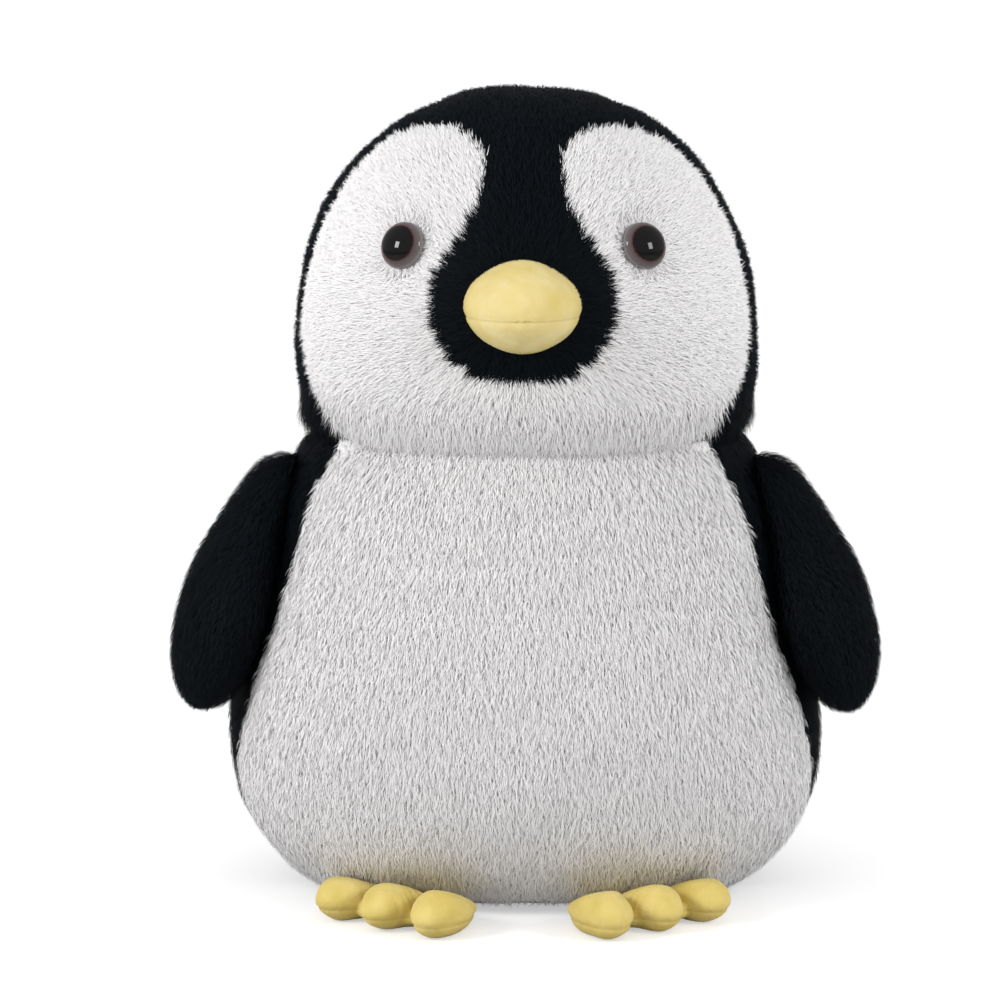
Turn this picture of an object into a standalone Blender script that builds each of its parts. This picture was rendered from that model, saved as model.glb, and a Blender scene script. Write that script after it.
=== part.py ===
"""A large plush penguin: a sewn skin of pile fabric panels over loose stuffing.

It stands on +Z with its flat base on z = 0 and faces -Y, so its own left side is at +X.
The head rests in a dish at the neck, so it can nod. Each flipper hangs from a shoulder seam,
and each foot lifts or droops on the seam along its heel.
"""

from math import cos, hypot, pi, radians, sin, tan

import bmesh
import bpy
from mathutils import Matrix, Vector
from mathutils.bvhtree import BVHTree

# Overall sizes, in metres
HEIGHT = 0.710
BODY_HALF_WIDTH = 0.262
BODY_FRONT_DEPTH = 0.213
BODY_BACK_DEPTH = 0.230
BODY_WIDEST_HEIGHT = 0.145
BODY_DEEPEST_HEIGHT = 0.170
BASE_HALF_WIDTH = 0.185
BASE_FRONT_DEPTH = 0.106
BASE_BACK_DEPTH = 0.135

# Head and neck
HEAD_HALF_WIDTH = 0.202
HEAD_HALF_DEPTH = 0.178
HEAD_WIDEST_HEIGHT = 0.485
NECK_HEIGHT = 0.420
NECK_HALF_WIDTH = 0.190
NECK_HALF_DEPTH = 0.165
NOD_AXIS_ABOVE_NECK = 0.100
NECK_CLEARANCE = 0.0022  # between the head and the dish, which slide on each other
NECK_TUCK = 0.045  # how far the head's skin runs down inside the dish

# Fabrics and seams
PLUSH = 0.009  # backing and standing pile of the body fabric
VELOUR = 0.003  # short pile fabric of the beak and the feet
SEAM = 0.0004  # gap between panels that are sewn together
STUFFING_GAP = 0.0004  # between a skin and the stuffing inside it

# Beak
BEAK_HALF_WIDTH = 0.0512
BEAK_HALF_HEIGHT = 0.0410
BEAK_HEIGHT = 0.531
BEAK_REACH = 0.054  # past the front of the head
BEAK_SEAM_DROP = 0.0075  # from the beak's middle down to its seam
BEAK_PEAK = 0.16  # share of its width that the beak loses towards its top and bottom

# Eyes: one moulding each, a dome on a ribbed peg, held by a washer inside the face
EYE_RADIUS = 0.0205
EYE_DOME = 0.0130
EYE_SPACING = 0.2070
EYE_HEIGHT = 0.5815
EYE_SUNK = 0.0055  # the rim's depth in the pile
EYE_RIM = 0.0022
PEG_RADIUS = 0.0030
PEG_LENGTH = 0.0220
PEG_CLEARANCE = 0.0004
WASHER_RADIUS = 0.0125
WASHER_THICKNESS = 0.0025
WASHER_STANDOFF = 0.0020  # the face curves in behind a flat washer

# Flippers
FLIPPER_LENGTH = 0.218
FLIPPER_HALF_WIDTH = 0.054
FLIPPER_HALF_THICKNESS = 0.0280
FLIPPER_ROOT_SHARE = 0.40  # the root's width, against the widest
SHOULDER_HEIGHT = 0.392
SHOULDER_FORWARD = 0.045
TIP_FORWARD = 0.082
FLIPPER_TURN = 52.0  # degrees, from straight out to the side towards the back
SIDE_SLOPE = 22.0  # degrees that the body's side faces forward beside the flipper
FLIPPER_CLEARANCE = 0.0025
FLIPPER_WIDEST_AT = 0.62  # share of the flipper's length
ROOT_ROUNDING = 0.06  # share of the flipper's length that its root is rounded over

# Feet
FOOT_SIDE = 0.080  # from the middle of the body to the middle of the heel seam
HEEL_FORWARD = 0.025  # from the edge of the base
HEEL_HEIGHT = 0.003
FOOT_SPLAY = 30.0
TOE_SPREAD = 7.5
TOE_PITCH = 0.042
TOE_HALF_WIDTH = 0.0245
TOE_HALF_LENGTH = 0.042
TOE_HEIGHT = 0.043
TOE_PRESSED = 0.0025  # how far the toy flattens its toes on the floor
TOE_REACHES = (0.060, 0.058, 0.050)  # heel seam to toe middle: inner, middle and outer toe
HEEL_HALF_WIDTH = 0.050
HEEL_THICKNESS = 0.030
FOOT_WEDGE = 25.0  # degrees that the foot's top rises under the belly
SOLE_SHARE = 0.30  # height of the seam round the foot, against the toes' height

AROUND = 30  # sides of the large forms
SMALL_AROUND = 16  # of the eyes and the beak
DISH_AROUND = 40
DISH_RINGS = 20
FLIPPER_AROUND = 14
FAR = 0.4  # past every surface of the toy
SHARP_ANGLE = 35.0  # degrees between faces that shade as an edge

PIVOT_HEIGHT = NECK_HEIGHT + NOD_AXIS_ABOVE_NECK
BALL_DEPTH = hypot(NECK_HALF_DEPTH, NOD_AXIS_ABOVE_NECK)
BALL_WIDTH = BALL_DEPTH * NECK_HALF_WIDTH / NECK_HALF_DEPTH
HEAD_RISE = HEIGHT - HEAD_WIDEST_HEIGHT
HEAD_FALL = HEAD_WIDEST_HEIGHT - (PIVOT_HEIGHT - BALL_DEPTH)
SKIN_HEM = NECK_HEIGHT - NECK_TUCK

# The face panel's edge, from under the beak up round the brow, as shares of the head's
# half width and of its rise above its widest, or below that of its fall
FACE_EDGE = (
    (0.000, -0.091), (0.173, -0.057), (0.287, 0.018), (0.351, 0.098), (0.374, 0.218),
    (0.359, 0.298), (0.307, 0.391), (0.228, 0.502), (0.173, 0.600), (0.163, 0.707),
    (0.178, 0.773), (0.248, 0.831), (0.361, 0.858), (0.525, 0.831), (0.678, 0.760),
    (0.792, 0.653),
)
# The seam down the side of the face: share of the half depth, share of the rise or fall
FACE_SIDE = ((-0.42, -1.28), (-0.42, -0.71), (-0.57, -0.413), (-0.506, -0.310), (-0.404, -0.222),
             (-0.309, -0.063), (-0.247, 0.111), (-0.247, 0.90))
GUSSET_SHARE = 0.39  # half width of the strip over the crown, against the head's
# The belly panel's edge: share of the front depth, share of the neck's height
BELLY_SIDE = ((-0.08, -0.05), (-0.13, 0.06), (-0.18, 0.14), (-0.20, 0.20), (-0.23, 0.26),
              (-0.31, 0.33), (-0.40, 0.40), (-0.455, 0.48), (-0.505, 0.58), (-0.50, 0.70),
              (-0.475, 0.82), (-0.46, 0.92), (-0.46, 1.10))

for old in list(bpy.data.objects):
    bpy.data.objects.remove(old, do_unlink=True)
TOY = bpy.data.collections.new("plush_penguin")
CUTTERS = bpy.data.collections.new("cutters")
for group in (TOY, CUTTERS):
    bpy.context.scene.collection.children.link(group)


def material(name, colour, roughness):
    made = bpy.data.materials.new(name)
    made.use_nodes = True
    shader = made.node_tree.nodes["Principled BSDF"]
    shader.inputs["Base Color"].default_value = (*colour, 1)
    shader.inputs["Roughness"].default_value = roughness
    shader.inputs["Metallic"].default_value = 0
    return made


BLACK_PLUSH = material("black_plush", (0.012, 0.017, 0.024), 0.9)
WHITE_PLUSH = material("white_plush", (0.78, 0.77, 0.77), 0.95)
YELLOW_VELOUR = material("yellow_velour", (0.80, 0.62, 0.20), 0.85)
STUFFING = material("stuffing", (0.88, 0.88, 0.86), 1.0)
EYE_PLASTIC = material("eye_plastic", (0.030, 0.012, 0.006), 0.06)
WASHER_PLASTIC = material("washer_plastic", (0.75, 0.75, 0.72), 0.5)


def add(name, mesh, finish=None, parent=None):
    """A visible part when it has a finish, or else a cutter."""
    made = bpy.data.objects.new(name, mesh)
    if finish:
        TOY.objects.link(made)
        mesh.materials.clear()
        mesh.materials.append(finish)
        mesh.shade_smooth()
        mesh.set_sharp_from_angle(angle=radians(SHARP_ANGLE))
    else:
        CUTTERS.objects.link(made)
        made.hide_render = True
        made.display_type = "WIRE"
    if parent:
        made.parent = parent
        made.matrix_parent_inverse = parent.matrix_basis.inverted()
    return made


def pivot(name, place):
    made = bpy.data.objects.new(name, None)
    made.empty_display_size = 0.03
    made.location = place
    TOY.objects.link(made)
    return made


def boolean(target, other, operation):
    cut = target.modifiers.new(f"{operation.lower()} {other.name}", "BOOLEAN")
    cut.operation = operation
    cut.solver = "EXACT"
    cut.object = other


def finished_mesh(made, name):
    """The object's mesh with its modifiers applied, as a new mesh."""
    bpy.context.view_layer.update()
    graph = bpy.context.evaluated_depsgraph_get()
    mesh = bpy.data.meshes.new_from_object(made.evaluated_get(graph))
    mesh.name = name
    return mesh


def sphere_form(name, around, rings, place):
    """A UV sphere whose ring r, counted from the bottom pole, and side a are moved to place(r, a)."""
    bm = bmesh.new()
    bmesh.ops.create_uvsphere(bm, u_segments=around, v_segments=rings, radius=1)
    for vert in bm.verts:
        ring = round(Vector((0, 0, -1)).angle(vert.co) / pi * rings)
        angle = 0.0 if ring in (0, rings) else Vector((1, 0)).angle_signed(vert.co.xy) * -1
        vert.co = place(ring, angle)
    bmesh.ops.triangulate(bm, faces=bm.faces)
    bm.normal_update()
    bmesh.ops.recalc_face_normals(bm, faces=bm.faces)
    mesh = bpy.data.meshes.new(name)
    bm.to_mesh(mesh)
    bm.free()
    return mesh


def inset(mesh, depth, lowest=None):
    """A copy of a form, moved in along its normals, and kept above the lowest height."""
    bm = bmesh.new()
    bm.from_mesh(mesh)
    bm.normal_update()
    moved = [vert.co - vert.normal * depth for vert in bm.verts]
    for vert, co in zip(bm.verts, moved):
        vert.co = co
        if lowest is not None:
            vert.co.z = max(vert.co.z, lowest)
    made = bpy.data.meshes.new(mesh.name + "_inset")
    bm.to_mesh(made)
    bm.free()
    return made


def oval(half_x, half_y, power, angle):
    """A point of a superellipse, whose power of 2 is an ellipse and more is squarer."""
    c, s = cos(angle), sin(angle)
    x = half_x * abs(c) ** (2 / power) * (1 if c > 0 else -1)
    y = half_y * abs(s) ** (2 / power) * (1 if s > 0 else -1)
    return x, y


def arch(share, power):
    """The width of a superellipse at a share of its height, as a share of its widest."""
    return max(0.0, 1 - min(1.0, abs(share)) ** power) ** (1 / power)


def smooth_line(points, steps=4):
    """A Catmull-Rom curve through the points, in flat coordinates."""
    ends = [points[0], *points, points[-1]]
    line = []
    for p, q, r, s in zip(ends, ends[1:], ends[2:], ends[3:]):
        for k in range(steps):
            t = k / steps
            line.append(tuple(
                0.5 * (2 * b + (c - a) * t + (2 * a - 5 * b + 4 * c - d) * t * t
                       + (3 * b - a - 3 * c + d) * t ** 3)
                for a, b, c, d in zip(p, q, r, s)))
    return line + [points[-1]]


def moved_out(outline, distance):
    """A closed outline, anticlockwise, moved out along its normals."""
    moved = []
    for before, here, after in zip(outline[-1:] + outline[:-1], outline, outline[1:] + outline[:1]):
        along = (Vector(after) - Vector(before)).normalized()
        moved.append((here[0] + along.y * distance, here[1] - along.x * distance))
    return moved


def prism(name, outline, low, high, frame):
    """A flat outline extruded from low to high along the frame's third axis, as a closed mesh."""
    curve = bpy.data.curves.new(name, "CURVE")
    curve.dimensions = "2D"
    curve.fill_mode = "BOTH"
    curve.extrude = (high - low) / 2
    spline = curve.splines.new("POLY")
    spline.points.add(len(outline) - 1)
    for point, (x, y) in zip(spline.points, outline):
        point.co = (x, y, 0, 1)
    spline.use_cyclic_u = True
    drawn = bpy.data.objects.new(name + "_outline", curve)
    CUTTERS.objects.link(drawn)
    mesh = finished_mesh(drawn, name)
    bpy.data.objects.remove(drawn, do_unlink=True)
    bm = bmesh.new()
    bm.from_mesh(mesh)
    bmesh.ops.remove_doubles(bm, verts=bm.verts, dist=1e-6)
    bmesh.ops.translate(bm, verts=bm.verts, vec=(0, 0, (high + low) / 2))
    bmesh.ops.transform(bm, matrix=frame, verts=bm.verts)
    bmesh.ops.recalc_face_normals(bm, faces=bm.faces)
    bm.to_mesh(mesh)
    bm.free()
    return add(name, mesh)


def box(name, corner, opposite):
    """A block between two corners, given in either order."""
    mesh = bpy.data.meshes.new(name)
    bm = bmesh.new()
    bmesh.ops.create_cube(bm, size=1)
    low, high = (Vector(map(pick, corner, opposite)) for pick in (min, max))
    bmesh.ops.scale(bm, verts=bm.verts, vec=high - low)
    bmesh.ops.translate(bm, verts=bm.verts, vec=(low + high) / 2)
    bm.to_mesh(mesh)
    bm.free()
    return add(name, mesh)


# Frames for outlines drawn in the XZ plane and extruded along Y, and in YZ along X
FRONT_VIEW = Matrix(((1, 0, 0, 0), (0, 0, 1, 0), (0, 1, 0, 0), (0, 0, 0, 1)))
SIDE_VIEW = Matrix(((0, 0, 1, 0), (1, 0, 0, 0), (0, 1, 0, 0), (0, 0, 0, 1)))


# ---- Torso form -------------------------------------------------------------------------

TORSO_RINGS = 13
RING_BUNCHING = 1.5  # more than 1 sets the rings closer together near the base
TORSO_POWER = 2.2
LOWER_POWER = 2.4
TAPER_POWER = 1.6


def lower_share(base, widest):
    """How far below its widest a superellipse would close, against where the base cuts it."""
    return (1 - (base / widest) ** LOWER_POWER) ** (1 / LOWER_POWER)


def torso_half(widest, base, neck, widest_height, z):
    """A half width or depth of the torso at a height."""
    if z < widest_height:
        return widest * arch((widest_height - z) / widest_height * lower_share(base, widest), LOWER_POWER)
    share = (z - widest_height) / (NECK_HEIGHT - widest_height)
    return widest - (widest - neck) * share ** TAPER_POWER


def torso_width(z):
    return torso_half(BODY_HALF_WIDTH, BASE_HALF_WIDTH, NECK_HALF_WIDTH, BODY_WIDEST_HEIGHT, z)


def torso_front(z):
    return torso_half(BODY_FRONT_DEPTH, BASE_FRONT_DEPTH, NECK_HALF_DEPTH, BODY_DEEPEST_HEIGHT, z)


def torso_back(z):
    return torso_half(BODY_BACK_DEPTH, BASE_BACK_DEPTH, NECK_HALF_DEPTH, BODY_DEEPEST_HEIGHT, z)


def torso_edge(x, z, depth):
    """Where the torso's surface lies at a place across it, from its middle."""
    return depth(z) * arch(x / torso_width(z), TORSO_POWER)


def torso_place(ring, angle):
    top = NECK_HEIGHT + PLUSH / 2  # just inside the dish, which then cuts it away
    if ring in (0, TORSO_RINGS + 1):
        return 0, 0, top if ring else 0
    z = top * ((ring - 1) / (TORSO_RINGS - 1)) ** RING_BUNCHING
    depth = torso_back if angle > 0 else torso_front
    x, y = oval(torso_width(z), depth(z), TORSO_POWER, angle)
    return x, y, z


# ---- Head form --------------------------------------------------------------------------

HEAD_RINGS = 14
HEAD_POWER = 2.0
DOME_POWER = 2.2


def head_level(share):
    """The height at a share of the head's rise, or below its widest of its fall."""
    return HEAD_WIDEST_HEIGHT + share * (HEAD_RISE if share > 0 else HEAD_FALL)


def head_halves(z):
    """Half width and half depth of the head at a height."""
    if z >= HEAD_WIDEST_HEIGHT:
        share = arch((z - HEAD_WIDEST_HEIGHT) / HEAD_RISE, DOME_POWER)
        return HEAD_HALF_WIDTH * share, HEAD_HALF_DEPTH * share
    share = arch((HEAD_WIDEST_HEIGHT - z) / HEAD_FALL, LOWER_POWER)
    ball = arch((PIVOT_HEIGHT - z) / BALL_DEPTH, 2)
    return (min(HEAD_HALF_WIDTH * share, BALL_WIDTH * ball),
            min(HEAD_HALF_DEPTH * share, BALL_DEPTH * ball))


def head_place(ring, angle):
    turn = pi * ring / HEAD_RINGS
    rise, power = (HEAD_RISE, DOME_POWER) if turn > pi / 2 else (HEAD_FALL, LOWER_POWER)
    z = HEAD_WIDEST_HEIGHT - (1 if turn < pi / 2 else -1) * rise * abs(cos(turn)) ** (2 / power)
    x, y = oval(*head_halves(z), HEAD_POWER, angle)
    return x, y, z


def head_surface(x, z):
    """The point of the front of the head at x and z, and the direction out of it."""
    def front(x, z):
        width, depth = head_halves(z)
        return -depth * arch(x / width, HEAD_POWER)
    step = 0.001
    out = Vector((front(x + step, z) - front(x - step, z), -2 * step,
                  front(x, z + step) - front(x, z - step)))
    return Vector((x, front(x, z), z)), out.normalized()


def met(mesh, start, way):
    """Where a line from a start point meets a mesh."""
    bm = bmesh.new()
    bm.from_mesh(mesh)
    place = BVHTree.FromBMesh(bm).ray_cast(start, way)[0]
    bm.free()
    return place


torso_form = sphere_form("torso_form", AROUND, TORSO_RINGS + 1, torso_place)
head_form = sphere_form("head_form", AROUND, HEAD_RINGS, head_place)
torso_inner = add("torso_inner", inset(torso_form, PLUSH, PLUSH))
head_inner = add("head_inner", inset(head_form, PLUSH))


def dish_place(ring, angle):
    turn = pi * ring / DISH_RINGS
    width = (BALL_WIDTH + NECK_CLEARANCE) * sin(turn)
    depth = (BALL_DEPTH + NECK_CLEARANCE) * sin(turn)
    x, y = oval(width, depth, 2, angle)
    return x, y, PIVOT_HEIGHT - (BALL_DEPTH + NECK_CLEARANCE) * cos(turn)


dish = add("neck_dish", sphere_form("neck_dish", DISH_AROUND, DISH_RINGS, dish_place))

torso_pivot = pivot("torso", (0, 0, 0))
head_pivot = pivot("head", (0, 0, PIVOT_HEIGHT))


# ---- Torso panels and stuffing ----------------------------------------------------------

BASE_LIP = 0.0020
base_top = PLUSH + BASE_LIP


def belly_region(grow):
    edge = [(y * BODY_FRONT_DEPTH, z * NECK_HEIGHT) for y, z in smooth_line(BELLY_SIDE, 2)]
    outline = moved_out(edge + [(-FAR, edge[-1][1]), (-FAR, edge[0][1])], grow)
    return prism(f"belly_region_{'back' if grow > 0 else 'front'}", outline, -FAR, FAR, SIDE_VIEW)


def torso_panel(name, finish):
    panel = add(name, torso_form.copy(), finish, torso_pivot)
    boolean(panel, torso_inner, "DIFFERENCE")
    boolean(panel, dish, "DIFFERENCE")
    return panel


base_block = box("base_block", (-FAR, -FAR, -FAR), (FAR, FAR, base_top))
above_base = box("above_base", (-FAR, -FAR, base_top + SEAM), (FAR, FAR, FAR * 2))

base_panel = add("base_panel", torso_form.copy(), BLACK_PLUSH, torso_pivot)
boolean(base_panel, torso_inner, "DIFFERENCE")
boolean(base_panel, base_block, "INTERSECT")

belly_panel = torso_panel("belly_panel", WHITE_PLUSH)
boolean(belly_panel, above_base, "INTERSECT")
boolean(belly_panel, belly_region(-SEAM / 2), "INTERSECT")

belly_grown = belly_region(SEAM / 2)
for side, name in ((1, "left"), (-1, "right")):
    half = box(f"half_{name}", (side * SEAM / 2, -FAR, -FAR), (side * FAR, FAR, FAR * 2))
    back = torso_panel(f"back_{name}", BLACK_PLUSH)
    boolean(back, above_base, "INTERSECT")
    boolean(back, belly_grown, "DIFFERENCE")
    boolean(back, half, "INTERSECT")

body_stuffing = add("body_stuffing", inset(torso_form, PLUSH + STUFFING_GAP, PLUSH + STUFFING_GAP),
                    STUFFING, torso_pivot)
boolean(body_stuffing, dish, "DIFFERENCE")


# ---- Head panels and stuffing -----------------------------------------------------------


def face_region(side, grow):
    """The block that one face panel lies in: its edge across the front, cut by its side seam."""
    edge = [(x * HEAD_HALF_WIDTH, head_level(z)) for x, z in smooth_line(FACE_EDGE, 2)]
    low = HEAD_WIDEST_HEIGHT - HEAD_FALL - PLUSH
    outline = [(0, low), *edge, (FAR, edge[-1][1]), (FAR, low)]
    outline = [(x, z) for x, z in reversed(outline)]
    outline = [(side * max(x, -grow), z) for x, z in moved_out(outline, grow)]
    label = f"{'left' if side > 0 else 'right'}_{'black' if grow > 0 else 'white'}"
    block = prism(f"face_block_{label}", outline, -FAR, 0, FRONT_VIEW)
    seam = [(y * HEAD_HALF_DEPTH, head_level(z)) for y, z in FACE_SIDE]
    ahead = moved_out(seam + [(-FAR, seam[-1][1]), (-FAR, seam[0][1])], grow)
    boolean(block, prism(f"face_side_{label}", ahead, -FAR, FAR, SIDE_VIEW), "INTERSECT")
    made = add(f"face_region_{label}", finished_mesh(block, "face_region"))
    block.modifiers.clear()
    return made


above_hem = box("above_hem", (-FAR, -FAR, SKIN_HEM + SEAM), (FAR, FAR, HEIGHT + FAR))
below_hem = box("below_hem", (-FAR, -FAR, -FAR), (FAR, FAR, SKIN_HEM - SEAM))


def head_panel(name, finish):
    panel = add(name, head_form.copy(), finish, head_pivot)
    boolean(panel, head_inner, "DIFFERENCE")
    boolean(panel, above_hem, "INTERSECT")
    return panel


gusset_half = GUSSET_SHARE * HEAD_HALF_WIDTH
head_gusset = head_panel("head_gusset", BLACK_PLUSH)
gusset_slab = box("gusset_slab", (-gusset_half, -FAR, 0), (gusset_half, FAR, FAR * 3))
boolean(head_gusset, gusset_slab, "INTERSECT")

faces = {}
for side, name in ((1, "left"), (-1, "right")):
    region = face_region(side, SEAM / 2)
    boolean(head_gusset, region, "DIFFERENCE")
    outside = box(f"outside_gusset_{name}", (side * (gusset_half + SEAM), -FAR, 0),
                  (side * FAR, FAR, FAR * 3))
    cheek = head_panel(f"head_back_{name}", BLACK_PLUSH)
    boolean(cheek, outside, "INTERSECT")
    boolean(cheek, region, "DIFFERENCE")
    faces[side] = head_panel(f"face_{name}", WHITE_PLUSH)
    boolean(faces[side], face_region(side, -SEAM / 2), "INTERSECT")

# The stuffing fills the skin, and bulges out below the hem to lie on the body's own stuffing
bulge = add("stuffing_bulge", head_form.copy())
boolean(bulge, below_hem, "INTERSECT")
head_stuffing = add("head_stuffing", inset(head_form, PLUSH + STUFFING_GAP), STUFFING, head_pivot)
boolean(head_stuffing, bulge, "UNION")


# ---- Eyes -------------------------------------------------------------------------------


def turned(name, profile, around, finish=None, parent=None):
    """A turned piece about +Z from a profile of radius and height, top to bottom."""
    mesh = bpy.data.meshes.new(name)
    mesh.from_pydata([(r, 0, z) for r, z in profile], [(k, k + 1) for k in range(len(profile) - 1)], [])
    made = add(name, mesh, finish, parent)
    screw = made.modifiers.new("turned", "SCREW")
    screw.steps = screw.render_steps = around
    screw.use_merge_vertices = True
    screw.merge_threshold = 0.0001
    return made


def facing(place, out):
    """The matrix that stands a turned piece at a place with its top facing out."""
    return Matrix.Translation(place) @ out.to_track_quat("Z", "Y").to_matrix().to_4x4()


DOME_STEPS = 6
dome = [(EYE_RADIUS * sin(k * pi / 2 / DOME_STEPS), EYE_DOME * cos(k * pi / 2 / DOME_STEPS))
        for k in range(DOME_STEPS)]
rim = [(EYE_RADIUS, 0), (EYE_RADIUS, -EYE_RIM / 2), (EYE_RADIUS - EYE_RIM / 2, -EYE_RIM),
       (PEG_RADIUS, -EYE_RIM)]
peg = [(PEG_RADIUS, -PEG_LENGTH), (0, -PEG_LENGTH - PEG_RADIUS / 2)]
hole_radius = PEG_RADIUS + PEG_CLEARANCE


def cutter_profile(radius, top, bottom):
    """A cylinder down to a depth, and a hole for the peg below it."""
    return [(0, top), (radius, top), (radius, bottom), (hole_radius, bottom),
            (hole_radius, -PEG_LENGTH - PEG_RADIUS), (0, -PEG_LENGTH - PEG_RADIUS)]


for side, name in ((1, "left"), (-1, "right")):
    place, out = head_surface(side * EYE_SPACING / 2, EYE_HEIGHT)
    place = met(head_form, place + out * EYE_RADIUS, -out)
    skin_inside = (met(head_inner.data, place + out * EYE_RADIUS, -out) - place).length
    stand = facing(place - out * (EYE_SUNK - EYE_RIM), out)
    top = -(skin_inside - EYE_SUNK + EYE_RIM + WASHER_STANDOFF)
    bottom = top - WASHER_THICKNESS
    washer_profile = [(WASHER_RADIUS, top), (WASHER_RADIUS, bottom), (hole_radius, bottom),
                      (hole_radius, top), (WASHER_RADIUS, top)]
    eye = turned(f"eye_{name}", dome + rim + peg, SMALL_AROUND, EYE_PLASTIC)
    washer = turned(f"eye_washer_{name}", washer_profile, SMALL_AROUND, WASHER_PLASTIC)
    socket = turned(f"eye_socket_{name}", cutter_profile(
        EYE_RADIUS + PEG_CLEARANCE, EYE_RADIUS * 2, -EYE_RIM - PEG_CLEARANCE), SMALL_AROUND)
    pocket = turned(f"washer_pocket_{name}", cutter_profile(
        WASHER_RADIUS + PEG_CLEARANCE, 0, bottom - PEG_CLEARANCE), SMALL_AROUND)
    for piece in (eye, washer):
        piece.parent = head_pivot
        piece.matrix_basis = Matrix.Translation(-head_pivot.location) @ stand
    for cutter in (socket, pocket):
        cutter.matrix_basis = stand
    boolean(faces[side], socket, "DIFFERENCE")
    boolean(head_stuffing, pocket, "DIFFERENCE")


# ---- Beak -------------------------------------------------------------------------------

BEAK_RINGS = 10
beak_root = -HEAD_HALF_DEPTH + BEAK_REACH / 2  # inside the head, which cuts the beak's back
beak_length = HEAD_HALF_DEPTH + BEAK_REACH + beak_root


def beak_place(shrink):
    def place(ring, angle):
        turn = pi * ring / BEAK_RINGS
        across, along = sin(turn), cos(turn)
        up = sin(angle)
        x = (BEAK_HALF_WIDTH - shrink) * across * cos(angle) * (1 - BEAK_PEAK * abs(up) ** 3)
        z = (BEAK_HALF_HEIGHT - shrink) * across * up
        drop = BEAK_SEAM_DROP * (1 - across)  # the tip lies on the seam, below the middle
        return x, beak_root - (beak_length - shrink) * along, BEAK_HEIGHT + z - drop
    return place


beak_form = sphere_form("beak_form", SMALL_AROUND, BEAK_RINGS, beak_place(0))
beak_inner = add("beak_inner", sphere_form("beak_inner", SMALL_AROUND, BEAK_RINGS, beak_place(VELOUR)))
head_grown = add("head_grown", inset(head_form, -SEAM * 2))
seam_height = BEAK_HEIGHT - BEAK_SEAM_DROP
for name, low, high in (("beak_upper", seam_height + SEAM / 2, HEIGHT),
                        ("beak_lower", 0, seam_height - SEAM / 2)):
    panel = add(name, beak_form.copy(), YELLOW_VELOUR, head_pivot)
    boolean(panel, beak_inner, "DIFFERENCE")
    boolean(panel, head_grown, "DIFFERENCE")
    boolean(panel, box(f"{name}_block", (-FAR, -FAR, low), (FAR, 0, high)), "INTERSECT")
beak_stuffing = add("beak_stuffing", sphere_form(
    "beak_stuffing", SMALL_AROUND, BEAK_RINGS, beak_place(VELOUR + STUFFING_GAP)), STUFFING, head_pivot)
boolean(beak_stuffing, head_grown, "DIFFERENCE")


# ---- Flippers ---------------------------------------------------------------------------

FLIPPER_RINGS = 10
TIP_POWER = 2.2
LEAF_POWER = 1.2


def flipper_share(s):
    """The flipper's width at a share of its length, against its widest."""
    if s > FLIPPER_WIDEST_AT:
        return arch((s - FLIPPER_WIDEST_AT) / (1 - FLIPPER_WIDEST_AT), TIP_POWER)
    root = arch(1 - s / ROOT_ROUNDING, 2) if s < ROOT_ROUNDING else 1
    swell = sin(pi / 2 * s / FLIPPER_WIDEST_AT) ** LEAF_POWER
    return root * (FLIPPER_ROOT_SHARE + (1 - FLIPPER_ROOT_SHARE) * swell)


def flipper_centre(s, side):
    """The middle of the flipper at a share of its length, which stands clear of the body."""
    z = SHOULDER_HEIGHT - FLIPPER_LENGTH * s
    forward = SHOULDER_FORWARD + (TIP_FORWARD - SHOULDER_FORWARD) * min(1, s / FLIPPER_WIDEST_AT)
    share = flipper_share(min(s, FLIPPER_WIDEST_AT))
    across = radians(FLIPPER_TURN + SIDE_SLOPE)
    reach = hypot(FLIPPER_HALF_WIDTH * cos(across), FLIPPER_HALF_THICKNESS * sin(across)) * share
    beside = torso_width(z) * arch(forward / torso_front(z), TORSO_POWER)
    clear = beside + FLIPPER_CLEARANCE + reach / cos(radians(SIDE_SLOPE))
    return Vector((side * clear, -forward, z))


def flipper_form(name, side, shrink):
    turn = radians(FLIPPER_TURN)
    broad = Vector((side * cos(turn), sin(turn), 0))
    thick = Vector((side * sin(turn), -cos(turn), 0))

    def place(ring, angle):
        s = 1 - (1 - cos(pi * ring / FLIPPER_RINGS)) / 2 if ring else 1.0
        ends = shrink / FLIPPER_LENGTH
        middle = flipper_centre(ends + s * (1 - 2 * ends), side)
        share = flipper_share(s)
        halves = ((FLIPPER_HALF_WIDTH - shrink) * share, (FLIPPER_HALF_THICKNESS - shrink) * share)
        x, y = oval(*halves, 2, angle)
        return middle + broad * x + thick * y

    return sphere_form(name, FLIPPER_AROUND, FLIPPER_RINGS, place), broad, thick


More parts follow.
